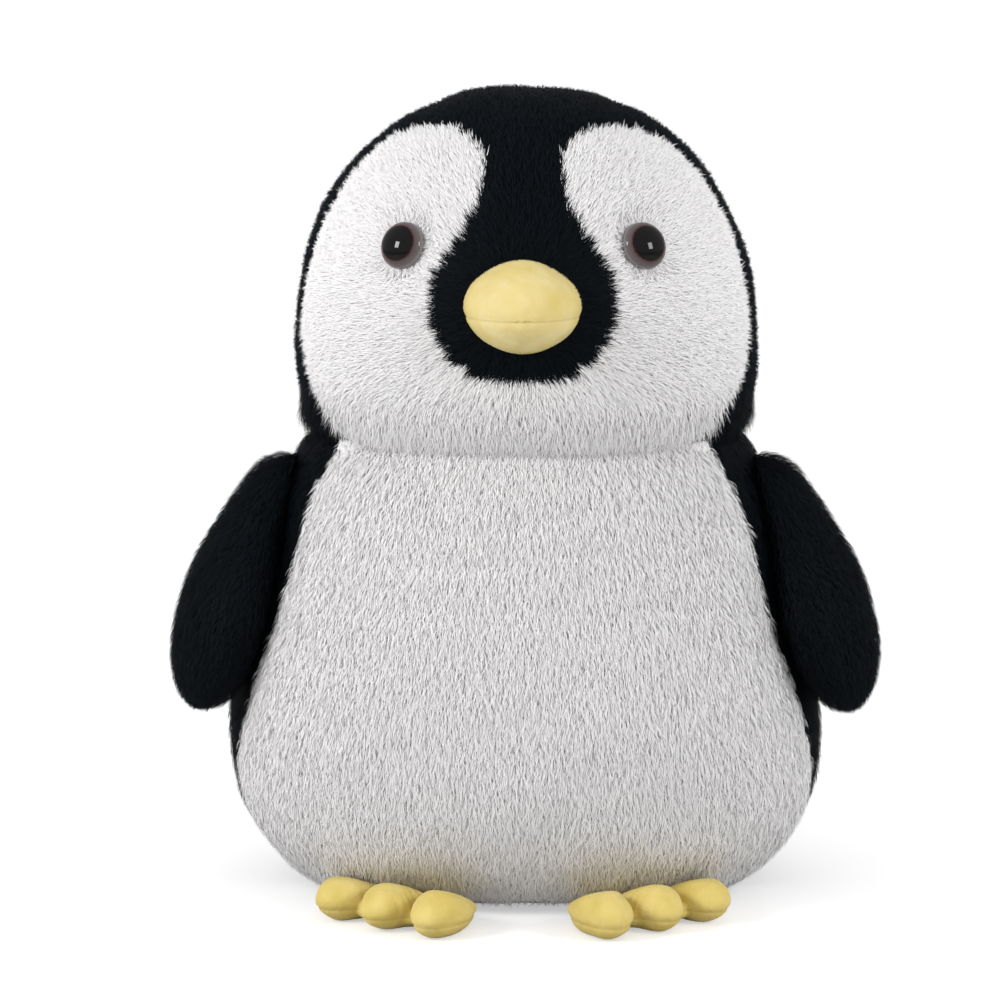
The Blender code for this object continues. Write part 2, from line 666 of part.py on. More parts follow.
for side, name in ((1, "left"), (-1, "right")):
    root = flipper_centre(0, side)
    shoulder = pivot(f"shoulder_{name}", root)
    form, broad, thick = flipper_form(f"flipper_form_{name}", side, 0)
    inner_mesh, _, _ = flipper_form(f"flipper_hollow_{name}", side, PLUSH)
    inner = add(f"flipper_hollow_{name}", inner_mesh)
    # The two panels meet on a sheet through the flipper's broad middle, which follows its bend
    line = [flipper_centre(k / 8, side) for k in range(9)]
    past = Vector((0, 0, FLIPPER_HALF_WIDTH))
    for half, towards in (("outer", 1), ("inner", -1)):
        bm = bmesh.new()
        rows = []
        for middle in (line[0] + past, *line, line[-1] - past):
            near = middle + thick * towards * SEAM / 2
            far = near + thick * towards * FLIPPER_HALF_THICKNESS * 3
            rows.append([bm.verts.new(p + broad * across * FLIPPER_HALF_WIDTH * 2)
                         for p, across in ((near, -1), (near, 1), (far, 1), (far, -1))])
        for low, high in zip(rows, rows[1:]):
            for k in range(4):
                bm.faces.new((low[k], low[(k + 1) % 4], high[(k + 1) % 4], high[k]))
        bm.faces.new(rows[0])
        bm.faces.new(rows[-1])
        bmesh.ops.recalc_face_normals(bm, faces=bm.faces)
        block_mesh = bpy.data.meshes.new("flipper_half")
        bm.to_mesh(block_mesh)
        bm.free()
        block = add(f"flipper_{half}_half_{name}", block_mesh)
        panel = add(f"flipper_{half}_{name}", form.copy(), BLACK_PLUSH, shoulder)
        boolean(panel, inner, "DIFFERENCE")
        boolean(panel, block, "INTERSECT")
    stuffing_mesh, _, _ = flipper_form(f"flipper_stuffing_{name}", side, PLUSH + STUFFING_GAP)
    add(f"flipper_stuffing_{name}", stuffing_mesh, STUFFING, shoulder)


# ---- Feet -------------------------------------------------------------------------------


def ellipsoid(name, middle, halves, turn, around=12, rings=6):
    bm = bmesh.new()
    bmesh.ops.create_uvsphere(bm, u_segments=around, v_segments=rings, radius=1)
    bmesh.ops.scale(bm, verts=bm.verts, vec=halves)
    placed = Matrix.Translation(middle) @ Matrix.Rotation(turn, 4, "Z")
    bmesh.ops.transform(bm, matrix=placed, verts=bm.verts)
    mesh = bpy.data.meshes.new(name)
    bm.to_mesh(mesh)
    bm.free()
    return mesh


def foot_frame(side):
    """The heel seam's middle, the way the foot points, and the way along the seam, outwards."""
    splay = radians(FOOT_SPLAY)
    edge = torso_edge(FOOT_SIDE, 0, torso_front)
    heel = Vector((side * FOOT_SIDE, -edge - HEEL_FORWARD, HEEL_HEIGHT))
    return heel, Vector((side * sin(splay), -cos(splay), 0)), Vector((side * cos(splay), sin(splay), 0))


def foot_form(name, side, shrink):
    """Three toes and a heel pad joined, cut flat below and sloped above where the belly lies on it."""
    heel, ahead, out = foot_frame(side)
    heel_half = TOE_REACHES[1] / 2 + HEEL_FORWARD / 2
    middle = heel + ahead * (heel_half - HEEL_HEIGHT)
    middle.z = HEEL_THICKNESS / 2 - HEEL_HEIGHT
    halves = (HEEL_HALF_WIDTH - shrink, heel_half - shrink, HEEL_THICKNESS / 2 - shrink)
    foot = add(name, ellipsoid(name, middle, halves, side * radians(FOOT_SPLAY)))
    for k, reach in enumerate(TOE_REACHES):
        turn = radians(FOOT_SPLAY + (k - 1) * TOE_SPREAD)
        toe_way = Vector((side * sin(turn), -cos(turn), 0))
        middle = heel + out * (k - 1) * TOE_PITCH + toe_way * reach
        middle.z = TOE_HEIGHT / 2 - TOE_PRESSED
        halves = (TOE_HALF_WIDTH - shrink, TOE_HALF_LENGTH - shrink, TOE_HEIGHT / 2 - shrink)
        boolean(foot, add(f"{name}_toe_{k}", ellipsoid("toe", middle, halves, side * turn)), "UNION")
    rise = tan(radians(FOOT_WEDGE))
    top = HEEL_HEIGHT * 2 - shrink
    outline = [(max(0, (shrink - top) / rise), shrink), (FAR, shrink), (FAR, top + FAR * rise)]
    if top > shrink:
        outline.append((0, top))
    frame = Matrix(((ahead.x, 0, out.x, heel.x), (ahead.y, 0, out.y, heel.y), (0, 1, 0, 0),
                    (0, 0, 0, 1)))
    boolean(foot, prism(f"{name}_wedge", outline, -FAR, FAR, frame), "INTERSECT")
    return foot


for side, name in ((1, "left"), (-1, "right")):
    heel, ahead, out = foot_frame(side)
    ankle = pivot(f"heel_{name}", heel)
    outer_mesh = finished_mesh(foot_form(f"foot_form_{name}", side, 0), "foot_form")
    inner_mesh = finished_mesh(foot_form(f"foot_inner_{name}", side, VELOUR), "foot_inner")
    inner = add(f"foot_hollow_{name}", inner_mesh)
    split = TOE_HEIGHT * SOLE_SHARE
    for half, low, high in (("upper", split + SEAM / 2, FAR), ("sole", -FAR, split - SEAM / 2)):
        panel = add(f"foot_{half}_{name}", outer_mesh.copy(), YELLOW_VELOUR, ankle)
        boolean(panel, inner, "DIFFERENCE")
        boolean(panel, box(f"foot_{half}_block_{name}", (-FAR, -FAR, low), (FAR, FAR, high)), "INTERSECT")
    stuffed = foot_form(f"foot_core_{name}", side, VELOUR + STUFFING_GAP)
    add(f"foot_stuffing_{name}", finished_mesh(stuffed, "foot_stuffing"), STUFFING, ankle)
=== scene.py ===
"""The looks of a large plush penguin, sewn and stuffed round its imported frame."""

from math import cos, exp, hypot, pi, radians, sin, tan

import bmesh
import bpy
import numpy as np
from mathutils import Matrix, Vector, noise
from mathutils.kdtree import KDTree


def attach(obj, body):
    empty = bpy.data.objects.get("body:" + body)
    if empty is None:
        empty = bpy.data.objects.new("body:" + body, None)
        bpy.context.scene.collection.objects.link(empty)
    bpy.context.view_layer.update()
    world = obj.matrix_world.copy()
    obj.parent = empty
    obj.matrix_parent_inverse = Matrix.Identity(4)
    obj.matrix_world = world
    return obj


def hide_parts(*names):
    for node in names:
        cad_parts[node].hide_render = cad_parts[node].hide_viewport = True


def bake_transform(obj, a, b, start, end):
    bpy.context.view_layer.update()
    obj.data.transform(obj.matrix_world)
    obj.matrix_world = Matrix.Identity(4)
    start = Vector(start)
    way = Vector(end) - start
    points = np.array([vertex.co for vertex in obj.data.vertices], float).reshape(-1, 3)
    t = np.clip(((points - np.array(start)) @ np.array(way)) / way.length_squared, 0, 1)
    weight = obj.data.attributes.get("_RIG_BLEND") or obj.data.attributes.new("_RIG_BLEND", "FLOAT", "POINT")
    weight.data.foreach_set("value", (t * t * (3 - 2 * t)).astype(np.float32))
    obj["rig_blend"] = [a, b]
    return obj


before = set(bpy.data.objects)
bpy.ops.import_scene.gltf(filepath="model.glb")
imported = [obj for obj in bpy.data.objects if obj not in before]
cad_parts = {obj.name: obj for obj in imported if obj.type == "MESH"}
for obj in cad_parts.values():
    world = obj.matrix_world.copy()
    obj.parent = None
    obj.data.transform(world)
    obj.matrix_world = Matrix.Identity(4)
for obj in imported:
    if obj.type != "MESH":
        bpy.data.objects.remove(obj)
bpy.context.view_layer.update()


# ---- Body skin --------------------------------------------------------------------------
# Four panels of pile fabric make the body: a white belly, two black backs and a black base.
# They are sewn edge to edge, right sides together, and the stuffing draws them tight, so each
# seam lies in a shallow valley between two swells.

BODY_HALF_WIDTH, BODY_FRONT_DEPTH, BODY_BACK_DEPTH = 0.262, 0.213, 0.230
BODY_WIDEST_HEIGHT, BODY_DEEPEST_HEIGHT = 0.145, 0.170
BASE_HALF_WIDTH, BASE_FRONT_DEPTH, BASE_BACK_DEPTH = 0.185, 0.106, 0.135
NECK_HEIGHT, NECK_HALF_WIDTH, NECK_HALF_DEPTH = 0.420, 0.190, 0.165
BODY_POWER, LOWER_POWER, TAPER_POWER = 2.2, 2.4, 1.6
NOD_HEIGHT, NECK_CLEARANCE = 0.520, 0.0022
BALL_DEPTH = hypot(NECK_HALF_DEPTH, NOD_HEIGHT - NECK_HEIGHT)
BALL_WIDTH = BALL_DEPTH * NECK_HALF_WIDTH / NECK_HALF_DEPTH
DISH_WIDTH, DISH_DEPTH = BALL_WIDTH + NECK_CLEARANCE, BALL_DEPTH + NECK_CLEARANCE
BASE_EDGE = 0.011  # height of the seam round the base
BELLY_SIDE = ((-0.08, -0.05), (-0.13, 0.06), (-0.18, 0.14), (-0.20, 0.20), (-0.23, 0.26),
              (-0.31, 0.33), (-0.40, 0.40), (-0.455, 0.48), (-0.505, 0.58), (-0.50, 0.70),
              (-0.475, 0.82), (-0.46, 0.92), (-0.46, 1.10))
PILE = 0.0030  # how far the lying pile stands over the fabric's backing
RIM_TURN = 0.0045  # how far the fabric turns in at the neck's rim
DISH_LIFT = 0.0005  # the dish's lining lies just over the stuffing
BELLY_FOLDS = ((0.352, 0.0032), (0.318, 0.0024), (0.279, 0.0020))  # height and depth of soft folds
BASE_LIFT = 0.0012  # the backing of the base, over the floor
NECK_RIM = 0.417  # the rim's fold, just under the line where the head leaves the body
BODY_SIDES = 160
BASE, BELLY, BACK_LEFT, BACK_RIGHT = range(4)


def arch(share, power):
    """The width of a superellipse at a share of its height."""
    return max(0.0, 1 - min(1.0, abs(share)) ** power) ** (1 / power)


def oval(half_x, half_y, power, angle):
    c, s = cos(angle), sin(angle)
    x = half_x * abs(c) ** (2 / power) * (1 if c > 0 else -1)
    y = half_y * abs(s) ** (2 / power) * (1 if s > 0 else -1)
    return x, y


def body_half(widest, base, neck, widest_height, z):
    """A half width or depth of the body at a height."""
    if z < widest_height:
        cut = (1 - (base / widest) ** LOWER_POWER) ** (1 / LOWER_POWER)
        return widest * arch((widest_height - z) / widest_height * cut, LOWER_POWER)
    share = (z - widest_height) / (NECK_HEIGHT - widest_height)
    return widest - (widest - neck) * share ** TAPER_POWER


def body_width(z):
    return body_half(BODY_HALF_WIDTH, BASE_HALF_WIDTH, NECK_HALF_WIDTH, BODY_WIDEST_HEIGHT, z)


def body_depth(z, behind):
    if behind:
        return body_half(BODY_BACK_DEPTH, BASE_BACK_DEPTH, NECK_HALF_DEPTH, BODY_DEEPEST_HEIGHT, z)
    return body_half(BODY_FRONT_DEPTH, BASE_FRONT_DEPTH, NECK_HALF_DEPTH, BODY_DEEPEST_HEIGHT, z)


def body_power(z):
    """The body's section is squarish below and goes round towards the neck."""
    return BODY_POWER + (2 - BODY_POWER) * smooth_step(0.36, NECK_RIM, z)


def smooth_line(points, steps):
    """A Catmull-Rom curve through flat points."""
    ends = [points[0], *points, points[-1]]
    line = []
    for p, q, r, s in zip(ends, ends[1:], ends[2:], ends[3:]):
        for k in range(steps):
            t = k / steps
            line.append(tuple(
                0.5 * (2 * b + (c - a) * t + (2 * a - 5 * b + 4 * c - d) * t * t
                       + (3 * b - a - 3 * c + d) * t ** 3)
                for a, b, c, d in zip(p, q, r, s)))
    return line + [points[-1]]


def nearest_on(line, place):
    """The nearest point of a flat line to a place, and how far it is."""
    best = (1e9, place)
    for start, end in zip(line, line[1:]):
        along = (end[0] - start[0], end[1] - start[1])
        length = along[0] ** 2 + along[1] ** 2
        t = ((place[0] - start[0]) * along[0] + (place[1] - start[1]) * along[1]) / length
        t = min(1.0, max(0.0, t))
        at = (start[0] + along[0] * t, start[1] + along[1] * t)
        best = min(best, (hypot(at[0] - place[0], at[1] - place[1]), at))
    return best[1], best[0]


def smooth_step(low, high, value):
    """From 0 at low to 1 at high, or the other way where low is the higher."""
    t = min(1.0, max(0.0, (value - low) / (high - low)))
    return t * t * (3 - 2 * t)


def lathe_grid(rows, sides, bottom, top):
    """A closed mesh from rows of points, each going once round, with a point at each end."""
    verts = [bottom, *(p for row in rows for p in row), top]
    faces = []
    for k in range(sides):
        n = (k + 1) % sides
        faces.append((0, 1 + n, 1 + k))
        last = 1 + (len(rows) - 1) * sides
        faces.append((len(verts) - 1, last + k, last + n))
        for r in range(len(rows) - 1):
            low = 1 + r * sides
            faces.append((low + k, low + n, low + sides + n, low + sides + k))
    mesh = bpy.data.meshes.new("form")
    mesh.from_pydata(verts, [], faces)
    return mesh


def panel_seams(mesh):
    """The vertices that lie between two panels, with the panels that meet there."""
    touching = {}
    for face in mesh.polygons:
        for v in face.vertices:
            touching.setdefault(v, set()).add(face.material_index)
    return {v: panels for v, panels in touching.items() if len(panels) > 1}


def in_scene(name, data):
    """A new object in the scene, at the origin."""
    made = bpy.data.objects.new(name, data)
    bpy.context.scene.collection.objects.link(made)
    return made


def subdivided(mesh):
    """The form with one smooth subdivision, keeping each face's panel."""
    made = in_scene("form", mesh)
    made.modifiers.new("smooth", "SUBSURF")
    graph = bpy.context.evaluated_depsgraph_get()
    finer = bpy.data.meshes.new_from_object(made.evaluated_get(graph))
    bpy.data.objects.remove(made, do_unlink=True)
    return finer


def move_to(mesh, places):
    for vert, co in zip(mesh.vertices, places):
        vert.co = co


def puffed(mesh, seams, swell, reach, lumps, seed, where=lambda co: 1.0):
    """The stuffing's push: panels swell away from their seams, with soft uneven lumps."""
    tree = KDTree(max(1, len(seams)))
    for v in seams:
        tree.insert(mesh.vertices[v].co, v)
    tree.balance()
    moved = []
    for vert in mesh.vertices:
        away = tree.find(vert.co)[2] if seams else reach * 3
        rise = swell * (1 - exp(-((away or 0) / reach) ** 2)) - swell * 0.75
        soft = noise.noise(vert.co * 14 + Vector((seed, 0, 0))) * lumps
        fine = noise.noise(vert.co * 38 + Vector((0, seed, 0))) * lumps * 0.35
        moved.append(vert.co + vert.normal * (rise + soft + fine) * where(vert.co))
    move_to(mesh, moved)


belly_line = [(y * BODY_FRONT_DEPTH, z * NECK_HEIGHT) for y, z in smooth_line(BELLY_SIDE, 4)]
belly_reach = np.array(sorted((z, y) for y, z in belly_line))


def body_panel(co):
    if co.z < BASE_EDGE:
        return BASE
    if co.y < np.interp(co.z, belly_reach[:, 0], belly_reach[:, 1]):
        return BELLY
    return BACK_LEFT if co.x > 0 else BACK_RIGHT


def body_rows():
    """Rows from the middle of the base, up the sides, over the neck's rim and down its dish."""
    for share in (0.3, 0.6, 0.85):
        yield 0.0, share, None
    climb = NECK_RIM - BASE_EDGE
    heights = [0.0, BASE_EDGE, *(BASE_EDGE + climb * (k / 50) ** 1.15 for k in range(1, 51))]
    for z in heights:
        yield z, 1.0, None
    for z in (0.410, 0.396, 0.378, 0.356):
        yield z, 1.0, "dish"


rows = []
for z, share, dish in body_rows():
    row = []
    for k in range(BODY_SIDES):
        angle = 2 * pi * k / BODY_SIDES
        if dish:
            round_share = arch((NOD_HEIGHT - z) / DISH_DEPTH, 2)
            x, y = oval(DISH_WIDTH * round_share, DISH_DEPTH * round_share, 2, angle)
        else:
            x, y = oval(body_width(z) * share, body_depth(z, angle < pi) * share, body_power(z), angle)
        row.append((x, y, z))
    rows.append(row)
body_form = lathe_grid(rows, BODY_SIDES, (0, 0, 0), (0, 0, NOD_HEIGHT - BALL_DEPTH - NECK_CLEARANCE))
for face in body_form.polygons:
    face.material_index = body_panel(face.center)
for v, panels in panel_seams(body_form).items():
    co = body_form.vertices[v].co
    if BELLY in panels and BASE not in panels and co.z < NECK_HEIGHT - 0.001:
        (y, z), _ = nearest_on(belly_line, (co.y, co.z))
        x = body_width(z) * arch(y / body_depth(z, y > 0), body_power(z))
        co = Vector((x if co.x > 0 else -x, y, z))
        body_form.vertices[v].co = co


def set_in(mesh, depth):
    """Moves the form in along its normals, from the tips of the pile to the backing."""
    move_to(mesh, [v.co - v.normal * depth(v.co) for v in mesh.vertices])


def out_of_dish(co):
    """1 all over the body's outside, 0 in the dish that the head sits in."""
    if co.z < 0.35:
        return 1.0
    return smooth_step(0.004, 0.012, hypot(co.x / NECK_HALF_WIDTH, co.y / NECK_HALF_DEPTH) - 0.93)


def sagged(mesh):
    """Soft folds across the belly, where the stuffing has settled."""
    moved = []
    for vert in mesh.vertices:
        co = vert.co
        drop = 0.0
        if co.y < 0:
            for k, (height, depth) in enumerate(BELLY_FOLDS):
                waver = noise.noise(Vector((co.x * 9, k * 5.0, 0))) * 0.016
                patch = max(0.0, 0.55 + noise.noise(Vector((co.x * 11, 7.0 + k, 0))) * 1.4)
                drop += depth * patch * exp(-((co.z - height - waver) / 0.007) ** 2)
        moved.append(co - vert.normal * drop * smooth_step(-0.08, -0.14, co.y))
    move_to(mesh, moved)


def body_inset(co):
    """The backing lies under its pile, and turns in softly at the neck's rim."""
    outside = PILE * smooth_step(-0.02, 0.05, co.z) + RIM_TURN * smooth_step(0.393, NECK_RIM, co.z)
    return (outside + DISH_LIFT) * out_of_dish(co) - DISH_LIFT


set_in(body_form, body_inset)
body_form = subdivided(body_form)
puffed(body_form, panel_seams(body_form), swell=0.0022, reach=0.018, lumps=0.0030, seed=3.1,
       where=lambda co: out_of_dish(co) * (1 - 0.8 * smooth_step(0.36, 0.41, co.z)))
sagged(body_form)
for vert in body_form.vertices:
    vert.co.z = max(vert.co.z, BASE_LIFT)


def new_finish(name):
    """A new material, with its nodes, its links and its surface."""
    made = bpy.data.materials.new(name)
    made.use_nodes = True
    tree = made.node_tree
    return made, tree.nodes, tree.links, tree.nodes["Principled BSDF"]


def tuned(node, values):
    """A node with its inputs set by name."""
    for socket, value in values.items():
        node.inputs[socket].default_value = value
    return node


def tint_between(nodes, deep, light):
    """A mix of two colours, still to be given its share."""
    tint = nodes.new("ShaderNodeMix")
    tint.data_type = "RGBA"
    return tuned(tint, {"A": (*deep, 1), "B": (*light, 1)})


def darkened(nodes, links, colour, shade):
    """A colour multiplied by a shade."""
    mix = nodes.new("ShaderNodeMix")
    mix.data_type = "RGBA"
    mix.blend_type = "MULTIPLY"
    mix.inputs["Factor"].default_value = 1.0
    links.new(colour, mix.inputs["A"])
    links.new(shade, mix.inputs["B"])
    return mix.outputs["Result"]


def bumped(nodes, links, height, strength, distance):
    """A bump from a height, as a node whose normal goes on to the surface."""
    bump = tuned(nodes.new("ShaderNodeBump"), {"Strength": strength, "Distance": distance})
    links.new(height, bump.inputs["Height"])
    return bump


def backing(name, deep, light, thread):
    """The knitted backing that the pile stands on: fine rows of loops, worn paler in places."""
    made, nodes, links, shader = new_finish(name)
    where = nodes.new("ShaderNodeTexCoord")
    cloud = tuned(nodes.new("ShaderNodeTexNoise"), {"Scale": 60.0, "Detail": 4.0})
    loops = tuned(nodes.new("ShaderNodeTexWave"), {"Scale": thread, "Distortion": 2.0})
    tint = tint_between(nodes, deep, light)
    bump = bumped(nodes, links, loops.outputs["Fac"], 0.5, 0.0006)
    links.new(where.outputs["Object"], cloud.inputs["Vector"])
    links.new(where.outputs["Object"], loops.inputs["Vector"])
    links.new(cloud.outputs["Fac"], tint.inputs["Factor"])
    links.new(tint.outputs["Result"], shader.inputs["Base Color"])
    links.new(bump.outputs["Normal"], shader.inputs["Normal"])
    tuned(shader, {"Roughness": 0.95, "Specular IOR Level": 0.15})
    return made


WHITE_BACKING = backing("white_backing", (0.78, 0.77, 0.77), (0.86, 0.85, 0.85), 300.0)
# painted shade: a greyed copy of the white backing for the belly's turn over the neck's rim and into its
# dish, where the head shades it
RIM_SHADED_BACKING = backing("rim_shaded_backing", (0.50, 0.49, 0.49), (0.58, 0.57, 0.57), 300.0)
BLACK_BACKING = backing("black_backing", (0.002, 0.003, 0.004), (0.006, 0.008, 0.011), 300.0)


def pile_fibre(name, tones, painted_root_shade, roughness, gloss):
    """Polyester pile. Across the blade's map runs its tone and along it the way from root to tip, darkened
    towards the root as painted shade where the blades shade each other.
    """
    made, nodes, links, shader = new_finish(name)
    lay = nodes.new("ShaderNodeUVMap")
    lay.uv_map = "OFBake"
    parts = nodes.new("ShaderNodeSeparateXYZ")
    ramp = nodes.new("ShaderNodeValToRGB")
    stops = ramp.color_ramp.elements
    stops[0].position, stops[0].color = tones[0][0], (*tones[0][1], 1)
    stops[1].position, stops[1].color = tones[-1][0], (*tones[-1][1], 1)
    for place, colour in tones[1:-1]:
        stops.new(place).color = (*colour, 1)
    # painted shade: each blade is darkened from its tip down to its root, where the blades shade each other
    depth = tuned(nodes.new("ShaderNodeMapRange"), {"From Max": 0.6, "To Min": painted_root_shade})
    links.new(lay.outputs["UV"], parts.inputs["Vector"])
    links.new(parts.outputs["X"], ramp.inputs["Fac"])
    links.new(parts.outputs["Y"], depth.inputs["Value"])
    shade = darkened(nodes, links, ramp.outputs["Color"], depth.outputs["Result"])
    links.new(shade, shader.inputs["Base Color"])
    tuned(shader, {"Roughness": roughness, "Specular IOR Level": gloss})
    return made


# The yellow at the top of the white pile's tones is painted bounce light off the feet; only the belly's pile
# just above them reaches it.
WHITE_PILE = pile_fibre("white_pile", (
    (0.0, (0.70, 0.69, 0.69)), (0.4, (0.84, 0.83, 0.83)), (0.72, (0.92, 0.91, 0.91)),
    (0.80, (0.92, 0.91, 0.90)), (1.0, (0.94, 0.87, 0.62))), 0.92, 0.85, 0.2)
BLACK_PILE = pile_fibre("black_pile", (
    (0.0, (0.0015, 0.0022, 0.003)), (0.5, (0.004, 0.0058, 0.008)), (1.0, (0.012, 0.017, 0.023))),
    0.6, 0.6, 0.04)


def blade_shape():
    """One tapered blade of pile of unit size: out of the backing, over, and lying down to its tip."""
    stations = ((0.0, 0.0, 0.0, 1.0), (0.5, 0.44, 0.42, 0.9))
    verts, faces, along = [], [], []
    for t, y, z, wide in stations:
        verts += [(-wide / 2, y, z), (wide / 2, y, z)]
        along += [(0.0, t), (1.0, t)]
    verts.append((0, 1.0, 0.46))
    along.append((0.5, 1.0))
    faces = [(0, 1, 3, 2), (2, 3, 4)]
    mesh = bpy.data.meshes.new("blade")
    mesh.from_pydata(verts, [], faces)
    layer = mesh.uv_layers.new(name="blade")
    for loop in mesh.loops:
        layer.data[loop.index].uv = along[loop.vertex_index]
    return in_scene("blade", mesh)


BLADE = blade_shape()


def pile_tree():
    """Blades of pile over a panel, lying the way it is brushed, with swirls and stray ones."""
    tree = bpy.data.node_groups.new("pile", "GeometryNodeTree")
    sockets = (("Panel", "Geometry", None), ("Blade", "Object", None), ("Per square metre", "Float", 3e5),
               ("Length", "Float", 0.012), ("Width", "Float", 0.0007), ("Swirl", "Float", 0.5),
               ("Swirls per metre", "Float", 40.0), ("Stray", "Float", 0.35),
               ("Tone spread", "Float", 0.14), ("Softness", "Float", 0.9), ("Seed", "Int", 1),
               ("Fibre", "Material", None))
    for name, kind, value in sockets:
        made = tree.interface.new_socket(name, in_out="INPUT", socket_type=f"NodeSocket{kind}")
        if value is not None:
            made.default_value = value
    tree.interface.new_socket("Pile", in_out="OUTPUT", socket_type="NodeSocketGeometry")
    nodes = tree.nodes
    given = nodes.new("NodeGroupInput").outputs
    result = nodes.new("NodeGroupOutput")

    def node(kind, feeds=(), **settings):
        made = nodes.new(kind)
        for key, value in settings.items():
            setattr(made, key, value)
        for socket, feed in feeds:
            target = made.inputs[socket]
            if isinstance(feed, bpy.types.NodeSocket):
                tree.links.new(feed, target)
            else:
                target.default_value = feed
        return made

    def sum_of(a, b, operation="ADD"):
        return node("ShaderNodeMath", ((0, a), (1, b)), operation=operation).outputs[0]

    def vector_of(a, b, operation="ADD"):
        return node("ShaderNodeVectorMath", ((0, a), (1, b)), operation=operation).outputs[0]

    def scaled(a, factor):
        return node("ShaderNodeVectorMath", ((0, a), ("Scale", factor)), operation="SCALE").outputs[0]

    def named(name, kind):
        found = node("GeometryNodeInputNamedAttribute", (("Name", name),), data_type=kind)
        return found.outputs["Attribute"]

    def between(low, high, number):
        seed = sum_of(given["Seed"], float(number))
        return node("FunctionNodeRandomValue", ((2, low), (3, high), ("Seed", seed)),
                    data_type="FLOAT").outputs[1]

    density = sum_of(given["Per square metre"], named("thick", "FLOAT"), "MULTIPLY")
    roots = node("GeometryNodeDistributePointsOnFaces", (
        ("Mesh", given["Panel"]), ("Density", density), ("Seed", given["Seed"])),
                 distribute_method="RANDOM")
    place = node("GeometryNodeInputPosition").outputs[0]
    swirls = node("ShaderNodeTexNoise", (
        ("Vector", place), ("Scale", given["Swirls per metre"]), ("Detail", 2.0)), noise_dimensions="3D")
    swirl = scaled(vector_of(swirls.outputs["Color"], (0.5, 0.5, 0.5), "SUBTRACT"), given["Swirl"])
    seed_stray = sum_of(given["Seed"], 7.0)
    stray = node("FunctionNodeRandomValue", ((0, (-1, -1, -1)), (1, (1, 1, 1)), ("Seed", seed_stray)),
                 data_type="FLOAT_VECTOR").outputs[0]
    way = vector_of(vector_of(named("way", "FLOAT_VECTOR"), swirl), scaled(stray, given["Stray"]))
    facing = node("FunctionNodeAxesToRotation", (
        ("Primary Axis", roots.outputs["Normal"]), ("Secondary Axis", way)),
                  primary_axis="Z", secondary_axis="Y")
    pitch = sum_of(between(-0.30, 0.22, 3), named("lift", "FLOAT"))
    lean = node("ShaderNodeCombineXYZ", (("X", pitch), ("Y", between(-0.6, 0.6, 4))))
    turned = node("FunctionNodeRotateRotation", (
        ("Rotation", facing.outputs[0]), ("Rotate By", lean.outputs[0])), rotation_space="LOCAL")
    length_share = sum_of(named("long", "FLOAT"), between(0.7, 1.15, 5), "MULTIPLY")
    length = sum_of(given["Length"], length_share, "MULTIPLY")
    size = node("ShaderNodeCombineXYZ", (
        ("X", sum_of(given["Width"], between(0.7, 1.2, 6), "MULTIPLY")), ("Y", length), ("Z", length)))
    spread = sum_of(between(-1.0, 1.0, 8), given["Tone spread"], "MULTIPLY")
    toned = node("GeometryNodeStoreNamedAttribute", (
        ("Geometry", roots.outputs["Points"]), ("Name", "tone"),
        ("Value", sum_of(named("tone", "FLOAT"), spread))),
        data_type="FLOAT", domain="POINT")
    skinned = node("GeometryNodeStoreNamedAttribute", (
        ("Geometry", toned.outputs[0]), ("Name", "skin"), ("Value", roots.outputs["Normal"])),
        data_type="FLOAT_VECTOR", domain="POINT")
    blade = node("GeometryNodeObjectInfo", (("Object", given["Blade"]),))
    placed = node("GeometryNodeInstanceOnPoints", (
        ("Points", skinned.outputs[0]), ("Instance", blade.outputs["Geometry"]),
        ("Rotation", turned.outputs[0]), ("Scale", size.outputs[0])))
    real = node("GeometryNodeRealizeInstances", (("Geometry", placed.outputs[0]),))
    lay = node("ShaderNodeSeparateXYZ", (("Vector", named("blade", "FLOAT_VECTOR")),))
    tone = node("ShaderNodeClamp", (("Value", named("tone", "FLOAT")),)).outputs[0]
    over_blade = sum_of(lay.outputs["X"], 0.03, "MULTIPLY")
    across = sum_of(sum_of(over_blade, sum_of(tone, 0.95, "MULTIPLY")), 0.01)
    along = sum_of(sum_of(lay.outputs["Y"], 0.96, "MULTIPLY"), 0.02)
    map_place = node("ShaderNodeCombineXYZ", (("X", across), ("Y", along)))
    mapped = node("GeometryNodeStoreNamedAttribute", (
        ("Geometry", real.outputs[0]), ("Name", "OFBake"), ("Value", map_place.outputs[0])),
        data_type="FLOAT2", domain="CORNER")
    smooth = node("GeometryNodeSetShadeSmooth", (("Geometry", mapped.outputs[0]),))
    own = node("GeometryNodeInputNormal").outputs[0]
    skin = scaled(named("skin", "FLOAT_VECTOR"), given["Softness"])
    soft = vector_of(skin, scaled(own, sum_of(1.0, given["Softness"], "SUBTRACT")))
    shaded = node("GeometryNodeSetMeshNormal", (("Mesh", smooth.outputs[0]), ("Custom Normal", soft)),
                  mode="TANGENT_SPACE")
    finished = node("GeometryNodeSetMaterial", (
        ("Geometry", shaded.outputs[0]), ("Material", given["Fibre"])))
    tree.links.new(finished.outputs[0], result.inputs[0])
    return tree


PILE_TREE = pile_tree()
PILE_IDS = {item.name: item.identifier for item in PILE_TREE.interface.items_tree
            if item.in_out == "INPUT"}


def cut_panel(form, panel, name, backing_finish):
    """One panel of a form as a piece of its own."""
    picked = [list(f.vertices) for f in form.polygons if f.material_index == panel]
    used = sorted({v for f in picked for v in f})
    place = {v: k for k, v in enumerate(used)}
    mesh = bpy.data.meshes.new(name)
    mesh.from_pydata([form.vertices[v].co for v in used], [], [[place[v] for v in f] for f in picked])
    mesh.materials.append(backing_finish)
    mesh.shade_smooth()
    return in_scene(name, mesh)


LOWEST = 0.0008  # the pile under the seat is pressed flat on the floor
PILE_KEEPS = {"position", "OFBake", "material_index", "sharp_face", "sharp_edge", "custom_normal",
              ".edge_verts", ".corner_vert", ".corner_edge"}


